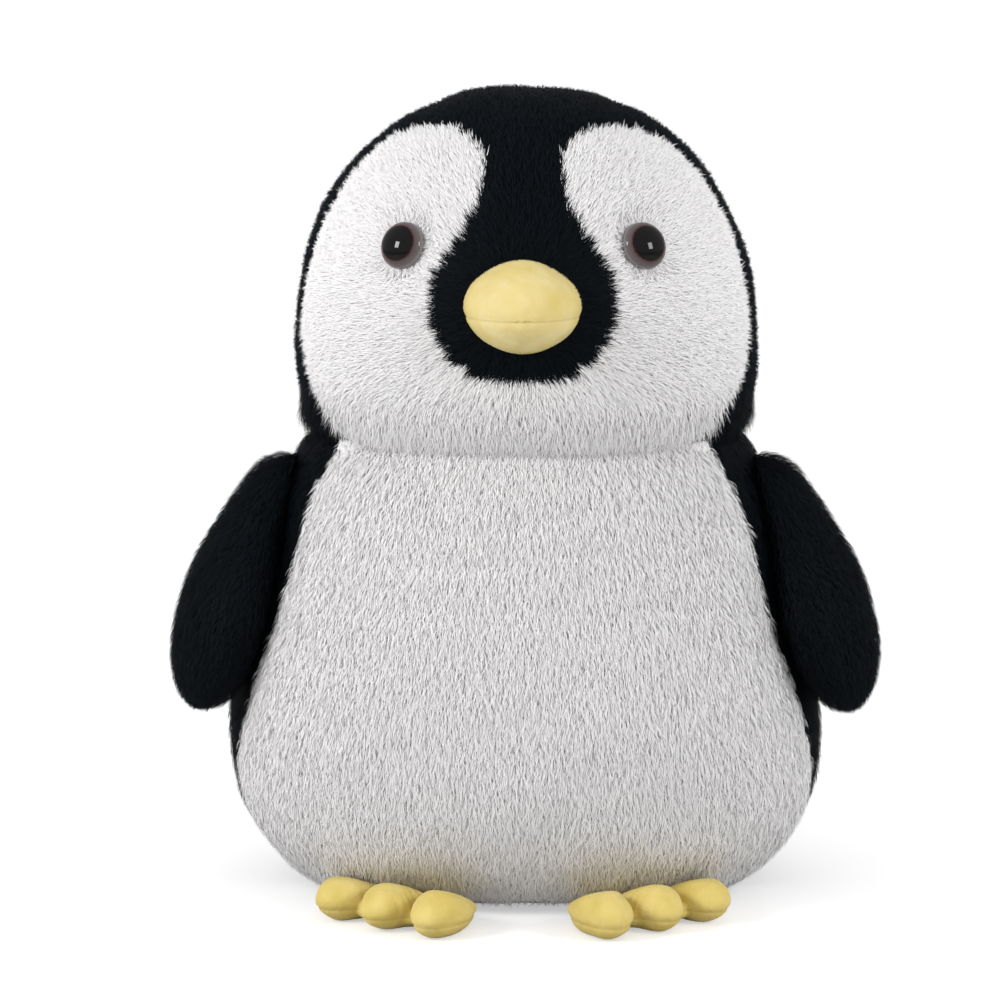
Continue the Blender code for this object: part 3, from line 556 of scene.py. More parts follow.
def grow_pile(panel, name, fibre, way, thick, tone=lambda co: 0.5, long=lambda co: 1.0,
              lift=lambda co: 0.0, **sizes):
    """The pile of one panel, as a plain mesh."""
    mesh = panel.data.copy()
    for key, kind, rule in (("way", "FLOAT_VECTOR", way), ("thick", "FLOAT", thick),
                            ("tone", "FLOAT", tone), ("long", "FLOAT", long), ("lift", "FLOAT", lift)):
        layer = mesh.attributes.new(key, kind, "POINT")
        values = np.array([rule(v.co) for v in mesh.vertices], np.float32).ravel()
        layer.data.foreach_set("vector" if kind == "FLOAT_VECTOR" else "value", values)
    sheet = in_scene(name + "_sheet", mesh)
    grown = sheet.modifiers.new("pile", "NODES")
    grown.node_group = PILE_TREE
    given = {"Blade": BLADE, "Fibre": fibre, **sizes}
    for key, value in given.items():
        grown[PILE_IDS[key]] = value
    graph = bpy.context.evaluated_depsgraph_get()
    pile = bpy.data.meshes.new_from_object(sheet.evaluated_get(graph))
    for key in [a.name for a in pile.attributes if a.name not in PILE_KEEPS]:
        pile.attributes.remove(pile.attributes[key])
    places = np.empty(len(pile.vertices) * 3, np.float32)
    pile.vertices.foreach_get("co", places)
    places[2::3] = np.maximum(places[2::3], LOWEST)
    pile.vertices.foreach_set("co", places)
    pile.name = name
    made = in_scene(name, pile)
    sheet.modifiers.clear()
    bpy.data.objects.remove(sheet, do_unlink=True)
    return made


FEWER = 1.0
TOE_BOUNCE_LIGHT = 0.30  # painted bounce light: the belly's pile is tinged yellow just above the feet, as light thrown up off the yellow toes would tint it


def body_way(co):
    return (co.x * 0.6, co.y * 0.3, -1.0)


def body_thick(co):
    """Bare inside the neck's dish and under the base, where nothing is seen."""
    return out_of_dish(co) * smooth_step(0.001, 0.02, co.z)


def belly_tone_with_bounce(co):
    # painted bounce light: the tone rises towards the yellow end of the ramp in a patch just above each foot
    near = max(0.0, 1 - hypot((abs(co.x) - 0.115) / 0.085, (co.z - 0.030) / 0.024))
    return 0.50 + TOE_BOUNCE_LIGHT * smooth_step(0.0, 0.8, near)


def sewn_on(node_name):
    """Hides the solid whose place a panel takes."""
    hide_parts(node_name)


def plush(panel, piece, fibre, slot, seed, density, **more):
    """The pile on a panel, with its finish."""
    pile = grow_pile(panel, piece, fibre, Seed=seed, **{"Per square metre": density * FEWER}, **more)
    return pile


def body_long(co):
    """A little shorter at the rim, under the head's own pile."""
    return 1.0 - 0.25 * smooth_step(0.395, 0.415, co.z)


for panel_id, label, finish in (
        (BASE, "base_panel", BLACK_BACKING), (BELLY, "belly_panel", WHITE_BACKING),
        (BACK_LEFT, "back_left", BLACK_BACKING), (BACK_RIGHT, "back_right", BLACK_BACKING)):
    panel = cut_panel(body_form, panel_id, label + "_skin", finish)
    sewn_on(label)
    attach(panel, "torso")
    piles = []
    if panel_id == BASE:
        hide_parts("body_stuffing")
    if panel_id == BELLY:
        # painted shade: the belly's faces at the rim and in the dish take the greyed copy of the white
        # backing
        panel.data.materials.append(RIM_SHADED_BACKING)
        for face in panel.data.polygons:
            face.material_index = int(out_of_dish(face.center) < 1)
        for half, sign in (("left", 1), ("right", -1)):
            piles.append(plush(panel, f"belly_{half}_pile", WHITE_PILE, "white_plush", 12 + sign, 5.6e5,
                               way=body_way, tone=belly_tone_with_bounce, long=body_long,
                               thick=lambda co, sign=sign: body_thick(co) * (0.5 if abs(co.x) < 1e-5 else
                                                                             float(co.x * sign > 0))))
    elif panel_id != BASE:
        piles.append(plush(panel, label + "_pile", BLACK_PILE, "black_plush", 14 + panel_id, 3.35e5,
                           way=body_way, thick=body_thick, long=body_long))
    for pile in piles:
        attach(pile, "torso")


# ---- Head skin --------------------------------------------------------------------------
# A black strip runs from under the beak over the crown and down behind, between two black
# side panels. Two white face panels are let into it in front, from the brow round the cheeks
# to a seam under the beak.

HEIGHT = 0.710
HEAD_HALF_WIDTH, HEAD_HALF_DEPTH, HEAD_WIDEST_HEIGHT = 0.202, 0.178, 0.485
HEAD_POWER, DOME_POWER = 2.0, 2.2
HEAD_RISE = HEIGHT - HEAD_WIDEST_HEIGHT
HEAD_FALL = HEAD_WIDEST_HEIGHT - (NOD_HEIGHT - BALL_DEPTH)
FACE_EDGE = (
    (0.000, -0.091), (0.173, -0.057), (0.287, 0.018), (0.351, 0.098), (0.374, 0.218),
    (0.359, 0.298), (0.307, 0.391), (0.228, 0.502), (0.173, 0.600), (0.163, 0.707),
    (0.178, 0.773), (0.248, 0.831), (0.361, 0.858), (0.525, 0.831), (0.678, 0.760),
    (0.792, 0.653),
)
FACE_SIDE = ((-0.42, -1.28), (-0.42, -0.71), (-0.57, -0.413), (-0.506, -0.310), (-0.404, -0.222),
             (-0.309, -0.063), (-0.247, 0.111), (-0.247, 0.90))
STRIP_HALF_WIDTH = 0.39 * HEAD_HALF_WIDTH
BEAK_HEIGHT = 0.531
HEAD_SIDES, HEAD_ROWS = 144, 60
STRIP, FACE_LEFT, FACE_RIGHT, SIDE_LEFT, SIDE_RIGHT = range(5)


def head_level(share):
    """The height at a share of the head's rise, or below its widest of its fall."""
    return HEAD_WIDEST_HEIGHT + share * (HEAD_RISE if share > 0 else HEAD_FALL)


def head_halves(z):
    """Half width and half depth of the head at a height."""
    if z >= HEAD_WIDEST_HEIGHT:
        share = arch((z - HEAD_WIDEST_HEIGHT) / HEAD_RISE, DOME_POWER)
        return HEAD_HALF_WIDTH * share, HEAD_HALF_DEPTH * share
    share = arch((HEAD_WIDEST_HEIGHT - z) / HEAD_FALL, LOWER_POWER)
    ball = arch((NOD_HEIGHT - z) / BALL_DEPTH, 2)
    return (min(HEAD_HALF_WIDTH * share, BALL_WIDTH * ball),
            min(HEAD_HALF_DEPTH * share, BALL_DEPTH * ball))


def head_front(x, z):
    width, depth = head_halves(z)
    return -depth * arch(x / width, HEAD_POWER)


brow_line = [(x * HEAD_HALF_WIDTH, head_level(z)) for x, z in smooth_line(FACE_EDGE, 4)]
cheek_line = [(y * HEAD_HALF_DEPTH, head_level(z)) for y, z in FACE_SIDE]
cheek_reach = np.array([(z, y) for y, z in cheek_line])
face_outline = [(-0.01, 0.2), (-0.01, brow_line[0][1]), *brow_line, (0.5, brow_line[-1][1]), (0.5, 0.2)]


def inside(outline, x, z):
    within = False
    for (ax, az), (bx, bz) in zip(outline, outline[1:] + outline[:1]):
        if (az > z) != (bz > z) and x < ax + (z - az) / (bz - az) * (bx - ax):
            within = not within
    return within


def head_panel(co):
    ahead = co.y < np.interp(co.z, cheek_reach[:, 0], cheek_reach[:, 1])
    if ahead and inside(face_outline, abs(co.x), co.z):
        return FACE_LEFT if co.x > 0 else FACE_RIGHT
    if abs(co.x) < STRIP_HALF_WIDTH:
        return STRIP
    return SIDE_LEFT if co.x > 0 else SIDE_RIGHT


rows = []
for ring in range(1, HEAD_ROWS):
    turn = pi * ring / HEAD_ROWS
    rise, power = (HEAD_RISE, DOME_POWER) if turn > pi / 2 else (HEAD_FALL, LOWER_POWER)
    z = HEAD_WIDEST_HEIGHT - (1 if turn < pi / 2 else -1) * rise * abs(cos(turn)) ** (2 / power)
    rows.append([(*oval(*head_halves(z), HEAD_POWER, 2 * pi * k / HEAD_SIDES), z)
                 for k in range(HEAD_SIDES)])
head_form = lathe_grid(rows, HEAD_SIDES, (0, 0, HEAD_WIDEST_HEIGHT - HEAD_FALL), (0, 0, HEIGHT))
for face in head_form.polygons:
    face.material_index = head_panel(face.center)
for v, panels in panel_seams(head_form).items():
    co = head_form.vertices[v].co
    side = 1 if co.x > 0 else -1
    white = panels & {FACE_LEFT, FACE_RIGHT}
    width, depth = head_halves(co.z)
    if len(white) == 2:
        continue
    if white:
        brow, brow_gap = nearest_on(brow_line, (abs(co.x), co.z))
        cheek, cheek_gap = nearest_on(cheek_line, (co.y, co.z))
        if brow_gap < cheek_gap and co.z > 0.44:
            co = Vector((side * brow[0], head_front(brow[0], brow[1]), brow[1]))
        else:
            width, depth = head_halves(cheek[1])
            co = Vector((side * width * arch(cheek[0] / depth, HEAD_POWER), *cheek))
    else:
        y = depth * arch(STRIP_HALF_WIDTH / width, HEAD_POWER)
        co = Vector((side * STRIP_HALF_WIDTH, y if co.y > 0 else -y, co.z))
    head_form.vertices[v].co = co
set_in(head_form, lambda co: PILE * (1 + 1.2 * smooth_step(0.425, 0.400, co.z)))
head_form = subdivided(head_form)
puffed(head_form, panel_seams(head_form), swell=0.0018, reach=0.014, lumps=0.0022, seed=8.4)
beak_middle = Vector((0, -HEAD_HALF_DEPTH - 0.01, BEAK_HEIGHT))
EYE_RADIUS, EYE_SPACING, EYE_HEIGHT, EYE_SUNK, EYE_RIM = 0.0205, 0.2070, 0.5815, 0.0055, 0.0022


def eye_seat(side):
    """Where an eye sits on the face, and the way it looks."""
    x, z, step = side * EYE_SPACING / 2, EYE_HEIGHT, 0.001
    out = Vector((head_front(x + step, z) - head_front(x - step, z), -2 * step,
                  head_front(x, z + step) - head_front(x, z - step)))
    return Vector((x, head_front(x, z), z)), out.normalized()


eye_seats = [eye_seat(side) for side in (1, -1)]


def from_eye(co):
    """The nearer eye's middle and how far it is."""
    return min(((co - seat).length, seat) for seat, out in eye_seats)


def pull_in_eyes(mesh):
    """Each washer draws the face in round its eye."""
    for vert in mesh.vertices:
        for seat, out in eye_seats:
            away = (vert.co - seat).length
            vert.co -= out * 0.0045 * exp(-(away / 0.026) ** 2)


pull_in_eyes(head_form)


def head_way(co):
    """Brushed away from the beak in front, out from each eye, and down behind."""
    behind = smooth_step(-0.03, 0.12, co.y)
    away = (co - beak_middle).normalized()
    gap, seat = from_eye(co)
    near = 1 - smooth_step(0.018, 0.045, gap)
    way = away * (1 - behind) + Vector((0, 0.25, -1)) * behind
    way = way * (1 - near) + (co - seat).normalized() * near
    hang = smooth_step(0.465, 0.435, co.z)
    return way * (1 - hang) + Vector((co.x * 1.5, co.y * 1.5, -1)) * hang


def head_thick(co):
    shown = smooth_step(0.375, 0.395, co.z) * 0.85 + 0.15
    beak = smooth_step(0.034, 0.042, hypot(co.x, (co.z - BEAK_HEIGHT) * 1.25)) if co.y < 0 else 1.0
    return shown * beak * smooth_step(EYE_RADIUS - 0.0015, EYE_RADIUS, from_eye(co)[0])


def head_lift(co):
    """The pile over the neck hangs clear of the head, down over the body's rim."""
    return 0.45 * smooth_step(0.455, 0.430, co.z)


def head_long(co):
    """Longer where it hangs over the neck, shorter round the eyes."""
    return 0.62 + 0.38 * smooth_step(0.020, 0.042, from_eye(co)[0]) + 0.70 * smooth_step(0.450, 0.425, co.z)


for panel_id, label, piece, white, seed, density in (
        (STRIP, "head_gusset", "crown", False, 21, 5.5e5),
        (FACE_LEFT, "face_left", "face_left", True, 22, 7.5e5),
        (FACE_RIGHT, "face_right", "face_right", True, 23, 7.5e5),
        (SIDE_LEFT, "head_back_left", "head_side_left", False, 24, 5.0e5),
        (SIDE_RIGHT, "head_back_right", "head_side_right", False, 25, 5.0e5)):
    slot = "white_plush" if white else "black_plush"
    panel = cut_panel(head_form, panel_id, piece + "_skin", WHITE_BACKING if white else BLACK_BACKING)
    sewn_on(label)
    pile = plush(panel, piece + "_pile", WHITE_PILE if white else BLACK_PILE, slot, seed, density,
                 way=head_way, thick=head_thick, long=head_long, lift=head_lift)
    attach(pile, "head")
    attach(panel, "head")


# ---- Eyes -------------------------------------------------------------------------------
# Each eye is a domed acrylic moulding, a black pupil printed behind a smoky brown ring, on a
# peg that a plastic washer grips inside the face.

EYE_DOME, PEG_RADIUS = 0.0130, 0.003
EYE_SIDES = 64


def eye_finish():
    """Clear acrylic over paint: black in the middle, a wavering dark red edge, a smoky ring, and a pale rim
    that is a painted reflection of the white fur round the eye.
    """
    made, nodes, links, shader = new_finish("eye_acrylic")
    lay = nodes.new("ShaderNodeUVMap")
    lay.uv_map = "OFBake"
    parts = nodes.new("ShaderNodeSeparateXYZ")
    where = nodes.new("ShaderNodeTexCoord")
    waver = tuned(nodes.new("ShaderNodeTexNoise"), {"Scale": 420.0})
    ragged = nodes.new("ShaderNodeMath")
    ragged.operation = "MULTIPLY_ADD"
    ragged.inputs[1].default_value = 0.05
    ramp = nodes.new("ShaderNodeValToRGB")
    stops = ramp.color_ramp.elements
    stops[0].position, stops[0].color = 0.74, (0.0012, 0.001, 0.0012, 1)
    # painted reflection: the pale grey at the dome's edge stands for the white fur mirrored in the acrylic
    stops[1].position, stops[1].color = 1.0, (0.20, 0.18, 0.18, 1)
    for place, colour in ((0.775, (0.040, 0.006, 0.005)), (0.82, (0.075, 0.052, 0.053)),
                          (0.94, (0.110, 0.090, 0.093)), (0.985, (0.130, 0.110, 0.112))):
        stops.new(place).color = (*colour, 1)
    links.new(lay.outputs["UV"], parts.inputs["Vector"])
    links.new(where.outputs["Object"], waver.inputs["Vector"])
    links.new(waver.outputs["Fac"], ragged.inputs[0])
    links.new(parts.outputs["Y"], ragged.inputs[2])
    links.new(ragged.outputs[0], ramp.inputs["Fac"])
    links.new(ramp.outputs["Color"], shader.inputs["Base Color"])
    tuned(shader, {"Roughness": 0.3, "Specular IOR Level": 0.0, "Coat Weight": 0.42, "Coat Roughness": 0.02})
    return made


EYE_FINISH = eye_finish()


def plastic(name, colour, grain):
    """Moulded plastic, faintly mottled, with a fine spark-eroded grain."""
    made, nodes, links, shader = new_finish(name)
    where = nodes.new("ShaderNodeTexCoord")
    mottle = tuned(nodes.new("ShaderNodeTexNoise"), {"Scale": grain})
    tint = tint_between(nodes, [c * 0.9 for c in colour], colour)
    bump = bumped(nodes, links, mottle.outputs["Fac"], 0.2, 0.0002)
    links.new(where.outputs["Object"], mottle.inputs["Vector"])
    links.new(mottle.outputs["Fac"], tint.inputs["Factor"])
    links.new(tint.outputs["Result"], shader.inputs["Base Color"])
    links.new(bump.outputs["Normal"], shader.inputs["Normal"])
    shader.inputs["Roughness"].default_value = 0.45
    return made


WASHER_FINISH = plastic("washer_plastic", (0.75, 0.75, 0.72), 900.0)

for (seat, out), label in zip(eye_seats, ("left", "right")):
    facing = out.to_track_quat("Z", "Y").to_matrix().to_4x4()
    stand = Matrix.Translation(seat - out * (EYE_SUNK - EYE_RIM)) @ facing
    profile = [(EYE_RADIUS * sin(k * pi / 24), EYE_DOME * cos(k * pi / 24)) for k in range(1, 12)]
    profile += [(EYE_RADIUS, 0), (EYE_RADIUS, -EYE_RIM / 2), (EYE_RADIUS - EYE_RIM / 2, -EYE_RIM),
                (PEG_RADIUS, -EYE_RIM)]
    rows = [[(r * cos(2 * pi * k / EYE_SIDES), r * sin(2 * pi * k / EYE_SIDES), z)
             for k in range(EYE_SIDES)] for r, z in reversed(profile)]
    mesh = lathe_grid(rows, EYE_SIDES, (0, 0, -EYE_RIM), (0, 0, EYE_DOME))
    layer = mesh.uv_layers.new(name="OFBake")
    for face in mesh.polygons:
        middle = face.center
        for loop in face.loop_indices:
            co = mesh.vertices[mesh.loops[loop].vertex_index].co
            turn = np.arctan2(co.y, co.x) / (2 * pi) if hypot(co.x, co.y) > 1e-6 else None
            centre_turn = np.arctan2(middle.y, middle.x) / (2 * pi)
            turn = centre_turn if turn is None else turn + round(centre_turn - turn)
            share = hypot(co.x, co.y) / EYE_RADIUS if co.z >= 0 else 1.0
            layer.data[loop].uv = (0.02 + 0.94 * min(1.0, max(0.0, turn + 0.51)), share)
    mesh.transform(stand)
    mesh.materials.append(EYE_FINISH)
    mesh.shade_smooth()
    eye = in_scene(f"eye_{label}_dome", mesh)
    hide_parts(f"eye_{label}")
    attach(eye, "head")
    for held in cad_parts[f"eye_washer_{label}"].material_slots:
        held.material = WASHER_FINISH


# ---- Beak -------------------------------------------------------------------------------
# The beak is a stuffed pouch of yellow velour in two panels, an upper and a lower one, which
# meet in a puckered seam across the front, and it is sewn onto the black strip round its root.

BEAK_HALF_WIDTH, BEAK_HALF_HEIGHT, BEAK_REACH = 0.0512, 0.0410, 0.054
BEAK_SEAM_DROP, BEAK_PEAK = 0.0075, 0.16
BEAK_SIDES, BEAK_ROWS = 72, 44
BEAK_SEAM = BEAK_HEIGHT - BEAK_SEAM_DROP


def face_out(mesh):
    """Turns every face of a closed form outwards."""
    bm = bmesh.new()
    bm.from_mesh(mesh)
    bmesh.ops.recalc_face_normals(bm, faces=bm.faces)
    bm.to_mesh(mesh)
    bm.free()


def velour(name, seam_height, deep, light):
    """Short yellow velour: brushed in patches, faintly napped, and darker in its seam's stitches."""
    made, nodes, links, shader = new_finish(name)
    where = nodes.new("ShaderNodeTexCoord")

    def speckle(scale, detail):
        cloud = tuned(nodes.new("ShaderNodeTexNoise"), {"Scale": scale, "Detail": detail})
        links.new(where.outputs["Object"], cloud.inputs["Vector"])
        return cloud.outputs["Fac"]

    brushed = tuned(nodes.new("ShaderNodeMapRange"), {"From Min": 0.35, "From Max": 0.68})
    links.new(speckle(34.0, 5.0), brushed.inputs["Value"])
    tint = tint_between(nodes, deep, light)
    links.new(brushed.outputs["Result"], tint.inputs["Factor"])
    parts = nodes.new("ShaderNodeSeparateXYZ")
    links.new(where.outputs["Object"], parts.inputs["Vector"])
    gap = nodes.new("ShaderNodeMath")
    gap.operation = "SUBTRACT"
    gap.inputs[1].default_value = seam_height
    links.new(parts.outputs["Z"], gap.inputs[0])
    side = nodes.new("ShaderNodeMath")
    side.operation = "ABSOLUTE"
    links.new(gap.outputs[0], side.inputs[0])
    thread = tuned(nodes.new("ShaderNodeMapRange"), {
        "From Min": 0.0003, "From Max": 0.0011, "To Min": 0.86, "To Max": 1.0})
    links.new(side.outputs[0], thread.inputs["Value"])
    sewn = darkened(nodes, links, tint.outputs["Result"], thread.outputs["Result"])
    links.new(sewn, shader.inputs["Base Color"])
    nap = bumped(nodes, links, speckle(700.0, 3.0), 0.55, 0.0005)
    crease = bumped(nodes, links, speckle(75.0, 3.0), 0.5, 0.0035)
    links.new(crease.outputs["Normal"], nap.inputs["Normal"])
    links.new(nap.outputs["Normal"], shader.inputs["Normal"])
    tuned(shader, {"Roughness": 0.85, "Specular IOR Level": 0.2, "Sheen Weight": 0.12,
                   "Sheen Tint": (1.0, 0.92, 0.62, 1)})
    return made


BEAK_VELOUR = velour("beak_velour", BEAK_SEAM, (0.63, 0.50, 0.175), (0.70, 0.585, 0.29))
root = -HEAD_HALF_DEPTH + BEAK_REACH / 2
length = HEAD_HALF_DEPTH + BEAK_REACH + root
rows = []
for ring in range(1, BEAK_ROWS):
    turn = pi * ring / BEAK_ROWS
    row = []
    for k in range(BEAK_SIDES):
        angle = 2 * pi * k / BEAK_SIDES
        x = BEAK_HALF_WIDTH * sin(turn) * cos(angle) * (1 - BEAK_PEAK * abs(sin(angle)) ** 3)
        z = BEAK_HEIGHT + BEAK_HALF_HEIGHT * sin(turn) * sin(angle) - BEAK_SEAM_DROP * (1 - sin(turn))
        row.append((x, root - length * cos(turn), z))
    rows.append(row)
beak_form = lathe_grid(rows, BEAK_SIDES, (0, root - length, BEAK_SEAM), (0, root + length, BEAK_SEAM))
for vert in beak_form.vertices:
    if abs(vert.co.z - BEAK_SEAM) < 0.0011 and vert.co.y < root:
        vert.co.z = BEAK_SEAM
for face in beak_form.polygons:
    face.material_index = 0 if face.center.z > BEAK_SEAM else 1
face_out(beak_form)
beak_form = subdivided(beak_form)
moved = []
for vert in beak_form.vertices:
    gap = vert.co.z - BEAK_SEAM
    tuck = exp(-(gap / 0.0035) ** 2)
    pucker = noise.noise(Vector((vert.co.x * 260, 0.0, 0.0 if gap > 0 else 3.0))) * 0.00045
    soft = noise.noise(vert.co * 42) * 0.0009
    moved.append(vert.co + vert.normal * (soft + pucker * exp(-(gap / 0.007) ** 2) - 0.0008 * tuck))
move_to(beak_form, moved)
for panel_id, half in ((0, "upper"), (1, "lower")):
    panel = cut_panel(beak_form, panel_id, f"beak_{half}_skin", BEAK_VELOUR)
    sewn_on(f"beak_{half}")
    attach(panel, "head")


# ---- Flippers ---------------------------------------------------------------------------
# Each flipper is a leaf of two black panels, lightly stuffed, sewn round its edge and closed
# into the shoulder seam, so it hangs beside the body with its broad side turned outwards.

FLIPPER_LENGTH, FLIPPER_HALF_WIDTH, FLIPPER_HALF_THICKNESS = 0.218, 0.054, 0.028
ROOT_SHARE, ROOT_ROUNDING, WIDEST_AT = 0.40, 0.06, 0.62
SHOULDER_HEIGHT, SHOULDER_FORWARD, TIP_FORWARD = 0.392, 0.045, 0.082
FLIPPER_TURN, SIDE_SLOPE, FLIPPER_CLEARANCE = radians(52), radians(22), 0.0025
FLIPPER_SIDES, FLIPPER_ROWS = 40, 36


def flipper_share(s):
    """The flipper's width at a share of its length, against its widest."""
    if s > WIDEST_AT:
        return arch((s - WIDEST_AT) / (1 - WIDEST_AT), 2.2)
    root = arch(1 - s / ROOT_ROUNDING, 2) if s < ROOT_ROUNDING else 1
    return root * (ROOT_SHARE + (1 - ROOT_SHARE) * sin(pi / 2 * s / WIDEST_AT) ** 1.2)


def flipper_centre(s, side):
    z = SHOULDER_HEIGHT - FLIPPER_LENGTH * s
    forward = SHOULDER_FORWARD + (TIP_FORWARD - SHOULDER_FORWARD) * min(1, s / WIDEST_AT)
    share = flipper_share(min(s, WIDEST_AT))
    across = FLIPPER_TURN + SIDE_SLOPE
    reach = hypot(FLIPPER_HALF_WIDTH * cos(across), FLIPPER_HALF_THICKNESS * sin(across)) * share
    beside = body_width(z) * arch(forward / body_depth(z, False), BODY_POWER)
    return Vector((side * (beside + FLIPPER_CLEARANCE + reach / cos(SIDE_SLOPE)), -forward, z))


for side, label in ((1, "left"), (-1, "right")):
    broad = Vector((side * cos(FLIPPER_TURN), sin(FLIPPER_TURN), 0))
    thick = Vector((side * sin(FLIPPER_TURN), -cos(FLIPPER_TURN), 0))
    rows = []
    for ring in range(1, FLIPPER_ROWS):
        s = 1 - (1 - cos(pi * ring / FLIPPER_ROWS)) / 2
        row = []
        for k in range(FLIPPER_SIDES):
            x, y = oval(FLIPPER_HALF_WIDTH * flipper_share(s), FLIPPER_HALF_THICKNESS * flipper_share(s), 2,
                        side * 2 * pi * k / FLIPPER_SIDES)
            row.append(flipper_centre(s, side) + broad * x + thick * y)
        rows.append(row)
    form = lathe_grid(rows, FLIPPER_SIDES, flipper_centre(1, side), flipper_centre(0, side))
    face_out(form)
    for face in form.polygons:
        s = (SHOULDER_HEIGHT - face.center.z) / FLIPPER_LENGTH
        face.material_index = 0 if (face.center - flipper_centre(s, side)).dot(thick) > 0 else 1
    set_in(form, lambda co: PILE * flipper_share((SHOULDER_HEIGHT - co.z) / FLIPPER_LENGTH))
    form = subdivided(form)
    puffed(form, panel_seams(form), swell=0.0030, reach=0.012, lumps=0.0020, seed=5.5 * side)
    body = f"{label}_flipper"
    top = flipper_centre(0, side)
    for panel_id, half, seed in ((0, "outer", 31 + side), (1, "inner", 34 + side)):
        panel = cut_panel(form, panel_id, f"flipper_{half}_{label}_skin", BLACK_BACKING)
        sewn_on(f"flipper_{half}_{label}")
        if half == "outer":
            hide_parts(f"flipper_stuffing_{label}")
        pile = plush(panel, f"flipper_{half}_{label}_pile", BLACK_PILE, "black_plush", seed, 6.5e5,
                     way=lambda co, side=side: (side * 0.5, -0.15, -1), thick=lambda co: 1.0, Length=0.0115)
        for piece in (pile, panel):
            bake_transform(piece, "torso", body, start=top + Vector((0, 0, 0.004)),
                     end=top - Vector((0, 0, 0.012)))


# ---- Feet -------------------------------------------------------------------------------
# Each foot is a yellow velour bag with three stuffed toes, sewn upper to sole along a seam low
# on the toes and gathered between them, and joined to the body along its heel.

FOOT_SIDE, HEEL_FORWARD, HEEL_HEIGHT = 0.080, 0.025, 0.003
FOOT_SPLAY, TOE_SPREAD, TOE_PITCH = 30.0, 7.5, 0.042
TOE_HALF_WIDTH, TOE_HALF_LENGTH, TOE_HEIGHT, TOE_PRESSED = 0.0245, 0.042, 0.043, 0.0025
TOE_REACHES = (0.060, 0.058, 0.050)
HEEL_HALF_WIDTH, HEEL_THICKNESS, FOOT_WEDGE, SOLE_SHARE = 0.050, 0.030, radians(28), 0.30
TOE_EASING = 0.010  # how softly the belly presses the toes' backs down
SOLE_SEAM = TOE_HEIGHT * SOLE_SHARE
FOOT_VELOUR = velour("foot_velour", SOLE_SEAM, (0.61, 0.47, 0.125), (0.71, 0.57, 0.205))


def egg(middle, halves, turn):
    bm = bmesh.new()
    bmesh.ops.create_uvsphere(bm, u_segments=48, v_segments=28, radius=1)
    bmesh.ops.scale(bm, verts=bm.verts, vec=halves)
    placed = Matrix.Translation(middle) @ Matrix.Rotation(turn, 4, "Z")
    bmesh.ops.transform(bm, matrix=placed, verts=bm.verts)
    mesh = bpy.data.meshes.new("egg")
    bm.to_mesh(mesh)
    bm.free()
    return mesh


for side, label in ((1, "left"), (-1, "right")):
    splay = radians(FOOT_SPLAY)
    edge = body_depth(0, False) * arch(FOOT_SIDE / body_width(0), BODY_POWER)
    heel = Vector((side * FOOT_SIDE, -edge - HEEL_FORWARD, HEEL_HEIGHT))
    ahead = Vector((side * sin(splay), -cos(splay), 0))
    out = Vector((side * cos(splay), sin(splay), 0))
    heel_half = TOE_REACHES[1] / 2 + HEEL_FORWARD / 2
    middle = heel + ahead * (heel_half - HEEL_HEIGHT)
    middle.z = HEEL_THICKNESS / 2 - HEEL_HEIGHT
    bm = bmesh.new()
    bm.from_mesh(egg(middle, (HEEL_HALF_WIDTH, heel_half, HEEL_THICKNESS / 2), side * splay))
    toes = []
    for k, reach in enumerate(TOE_REACHES):
        turn = radians(FOOT_SPLAY + (k - 1) * TOE_SPREAD)
        middle = heel + out * (k - 1) * TOE_PITCH + Vector((side * sin(turn), -cos(turn), 0)) * reach
        middle.z = TOE_HEIGHT / 2 - TOE_PRESSED
        toes.append(middle)
        bm.from_mesh(egg(middle, (TOE_HALF_WIDTH, TOE_HALF_LENGTH, TOE_HEIGHT / 2), side * turn))
    mesh = bpy.data.meshes.new("foot")
    bm.to_mesh(mesh)
    bm.free()
    lump = in_scene("foot", mesh)
    skin = lump.modifiers.new("one skin", "REMESH")
    skin.mode = "VOXEL"
    skin.voxel_size = 0.0014
    eased = lump.modifiers.new("eased", "SMOOTH")
    eased.factor, eased.iterations = 0.5, 3
    graph = bpy.context.evaluated_depsgraph_get()
    foot = bpy.data.meshes.new_from_object(lump.evaluated_get(graph))
    bpy.data.objects.remove(lump, do_unlink=True)
    rise = tan(FOOT_WEDGE)
    moved = []
    for vert in foot.vertices:
        gap = vert.co.z - SOLE_SEAM
        across = (vert.co - heel).dot(out)
        near_cleft = min(abs(across - (j - 0.5) * TOE_PITCH * 1.02) for j in (0, 1))
        gather = noise.noise(Vector((vert.co.dot(ahead) * 210, across * 60, 0))) * 0.0014
        gather = (gather - 0.0012) * exp(-(near_cleft / 0.006) ** 2)
        soft = noise.noise(vert.co * 55 + Vector((side, 0, 0))) * 0.0014
        pucker = noise.noise(Vector((across * 330, 2.0 if gap > 0 else 5.0, 0))) * 0.0005
        pucker *= exp(-(gap / 0.005) ** 2)
        tuck = -0.0010 * exp(-(gap / 0.0022) ** 2)
        moved.append(vert.co + vert.normal * (gather + soft + pucker + tuck))
    for vert, co in zip(foot.vertices, moved):
        top = max(0.0012, HEEL_HEIGHT * 2 + (co - heel).dot(ahead) * rise)
        blend = max(0.0, 1 - abs(co.z - top) / TOE_EASING)
        co.z = max(0.0006, min(co.z, top) - blend ** 2 * TOE_EASING / 4)
        vert.co = co
    for face in foot.polygons:
        face.material_index = 0 if face.center.z > SOLE_SEAM else 1
    for panel_id, half in ((0, "upper"), (1, "sole")):
        panel = cut_panel(foot, panel_id, f"foot_{half}_{label}_skin", FOOT_VELOUR)
        sewn_on(f"foot_{half}_{label}")
        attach(panel, f"{label}_foot")


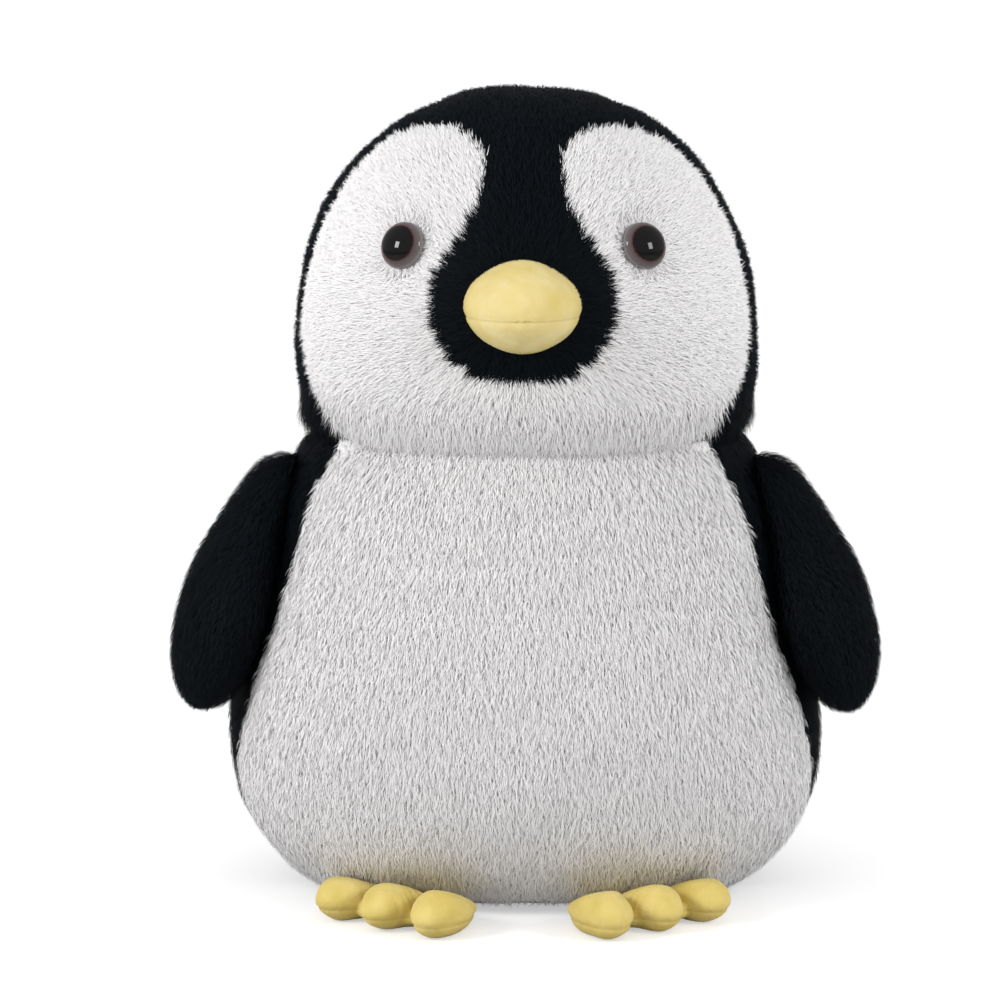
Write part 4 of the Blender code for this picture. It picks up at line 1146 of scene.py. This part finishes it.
# ---- Stuffing ---------------------------------------------------------------------------
# Loose polyester fibre fills every skin. It is one soft white body inside each limb.

fibre_fill = backing("fibre_fill", (0.80, 0.80, 0.78), (0.92, 0.92, 0.90), 90.0)
for name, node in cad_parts.items():
    if "stuffing" in name:
        for held in node.material_slots:
            held.material = fibre_fill


# ---- Studio -----------------------------------------------------------------------------
# A white floor that runs out of sight and two large soft boxes in front, left and right.

floor_mesh = bpy.data.meshes.new("studio_floor")
floor_mesh.from_pydata([(-40, -40, 0), (40, -40, 0), (40, 40, 0), (-40, 40, 0)], [], [(0, 1, 2, 3)])
floor = in_scene("studio_floor", floor_mesh)
floor_paint, nodes, links, shader = new_finish("studio_floor")
tuned(shader, {"Base Color": (0.62, 0.62, 0.62, 1), "Roughness": 0.8, "Emission Color": (1, 1, 1, 1)})
seen = nodes.new("ShaderNodeLightPath")
glow = nodes.new("ShaderNodeMath")
glow.operation = "MULTIPLY"
glow.inputs[1].default_value = 0.48
links.new(seen.outputs["Is Camera Ray"], glow.inputs[0])
links.new(glow.outputs[0], shader.inputs["Emission Strength"])
floor_mesh.materials.append(floor_paint)

world = bpy.data.worlds.new("studio")
world.use_nodes = True
nodes, links = world.node_tree.nodes, world.node_tree.links
sky = tuned(nodes["Background"], {"Color": (1, 1, 1, 1)})
glow = nodes.new("ShaderNodeMath")
glow.operation = "MULTIPLY_ADD"
glow.inputs[1].default_value, glow.inputs[2].default_value = 0.20, 0.86
seen = nodes.new("ShaderNodeLightPath")
links.new(seen.outputs["Is Camera Ray"], glow.inputs[0])
links.new(glow.outputs[0], sky.inputs["Strength"])
bpy.context.scene.world = world
bpy.context.scene.view_settings.view_transform = "Standard"

BOX_WIDTH, BOX_AIM = 0.60, Vector((0, 0, 0.35))
for name, place, power in (("box_left", (-2.2, -1.5, 1.5), 40), ("box_right", (2.2, -1.4, 1.35), 25)):
    lamp = bpy.data.lights.new(name, "AREA")
    lamp.shape = "RECTANGLE"
    lamp.size, lamp.size_y = BOX_WIDTH, BOX_WIDTH * 1.3
    lamp.energy = power
    box = in_scene(name, lamp)
    box.location = place
    box.rotation_mode = "QUATERNION"
    box.rotation_quaternion = (Vector(place) - BOX_AIM).to_track_quat("Z", "Y")

CAMERA_AZIMUTH, CAMERA_ELEVATION, CAMERA_DISTANCE = radians(1), radians(7.5), 3.2
target = Vector((0, 0, 0.355))
back = Vector((sin(CAMERA_AZIMUTH) * cos(CAMERA_ELEVATION), -cos(CAMERA_AZIMUTH) * cos(CAMERA_ELEVATION),
               sin(CAMERA_ELEVATION)))
lens = bpy.data.cameras.new("camera")
lens.sensor_width = 36
lens.lens = 129.0
lens.shift_x, lens.shift_y = -0.026, -0.0112
camera = in_scene("camera", lens)
camera.location = target + back * CAMERA_DISTANCE
camera.rotation_mode = "QUATERNION"
camera.rotation_quaternion = back.to_track_quat("Z", "Y")
bpy.context.scene.camera = camera

bpy.data.objects.remove(BLADE, do_unlink=True)
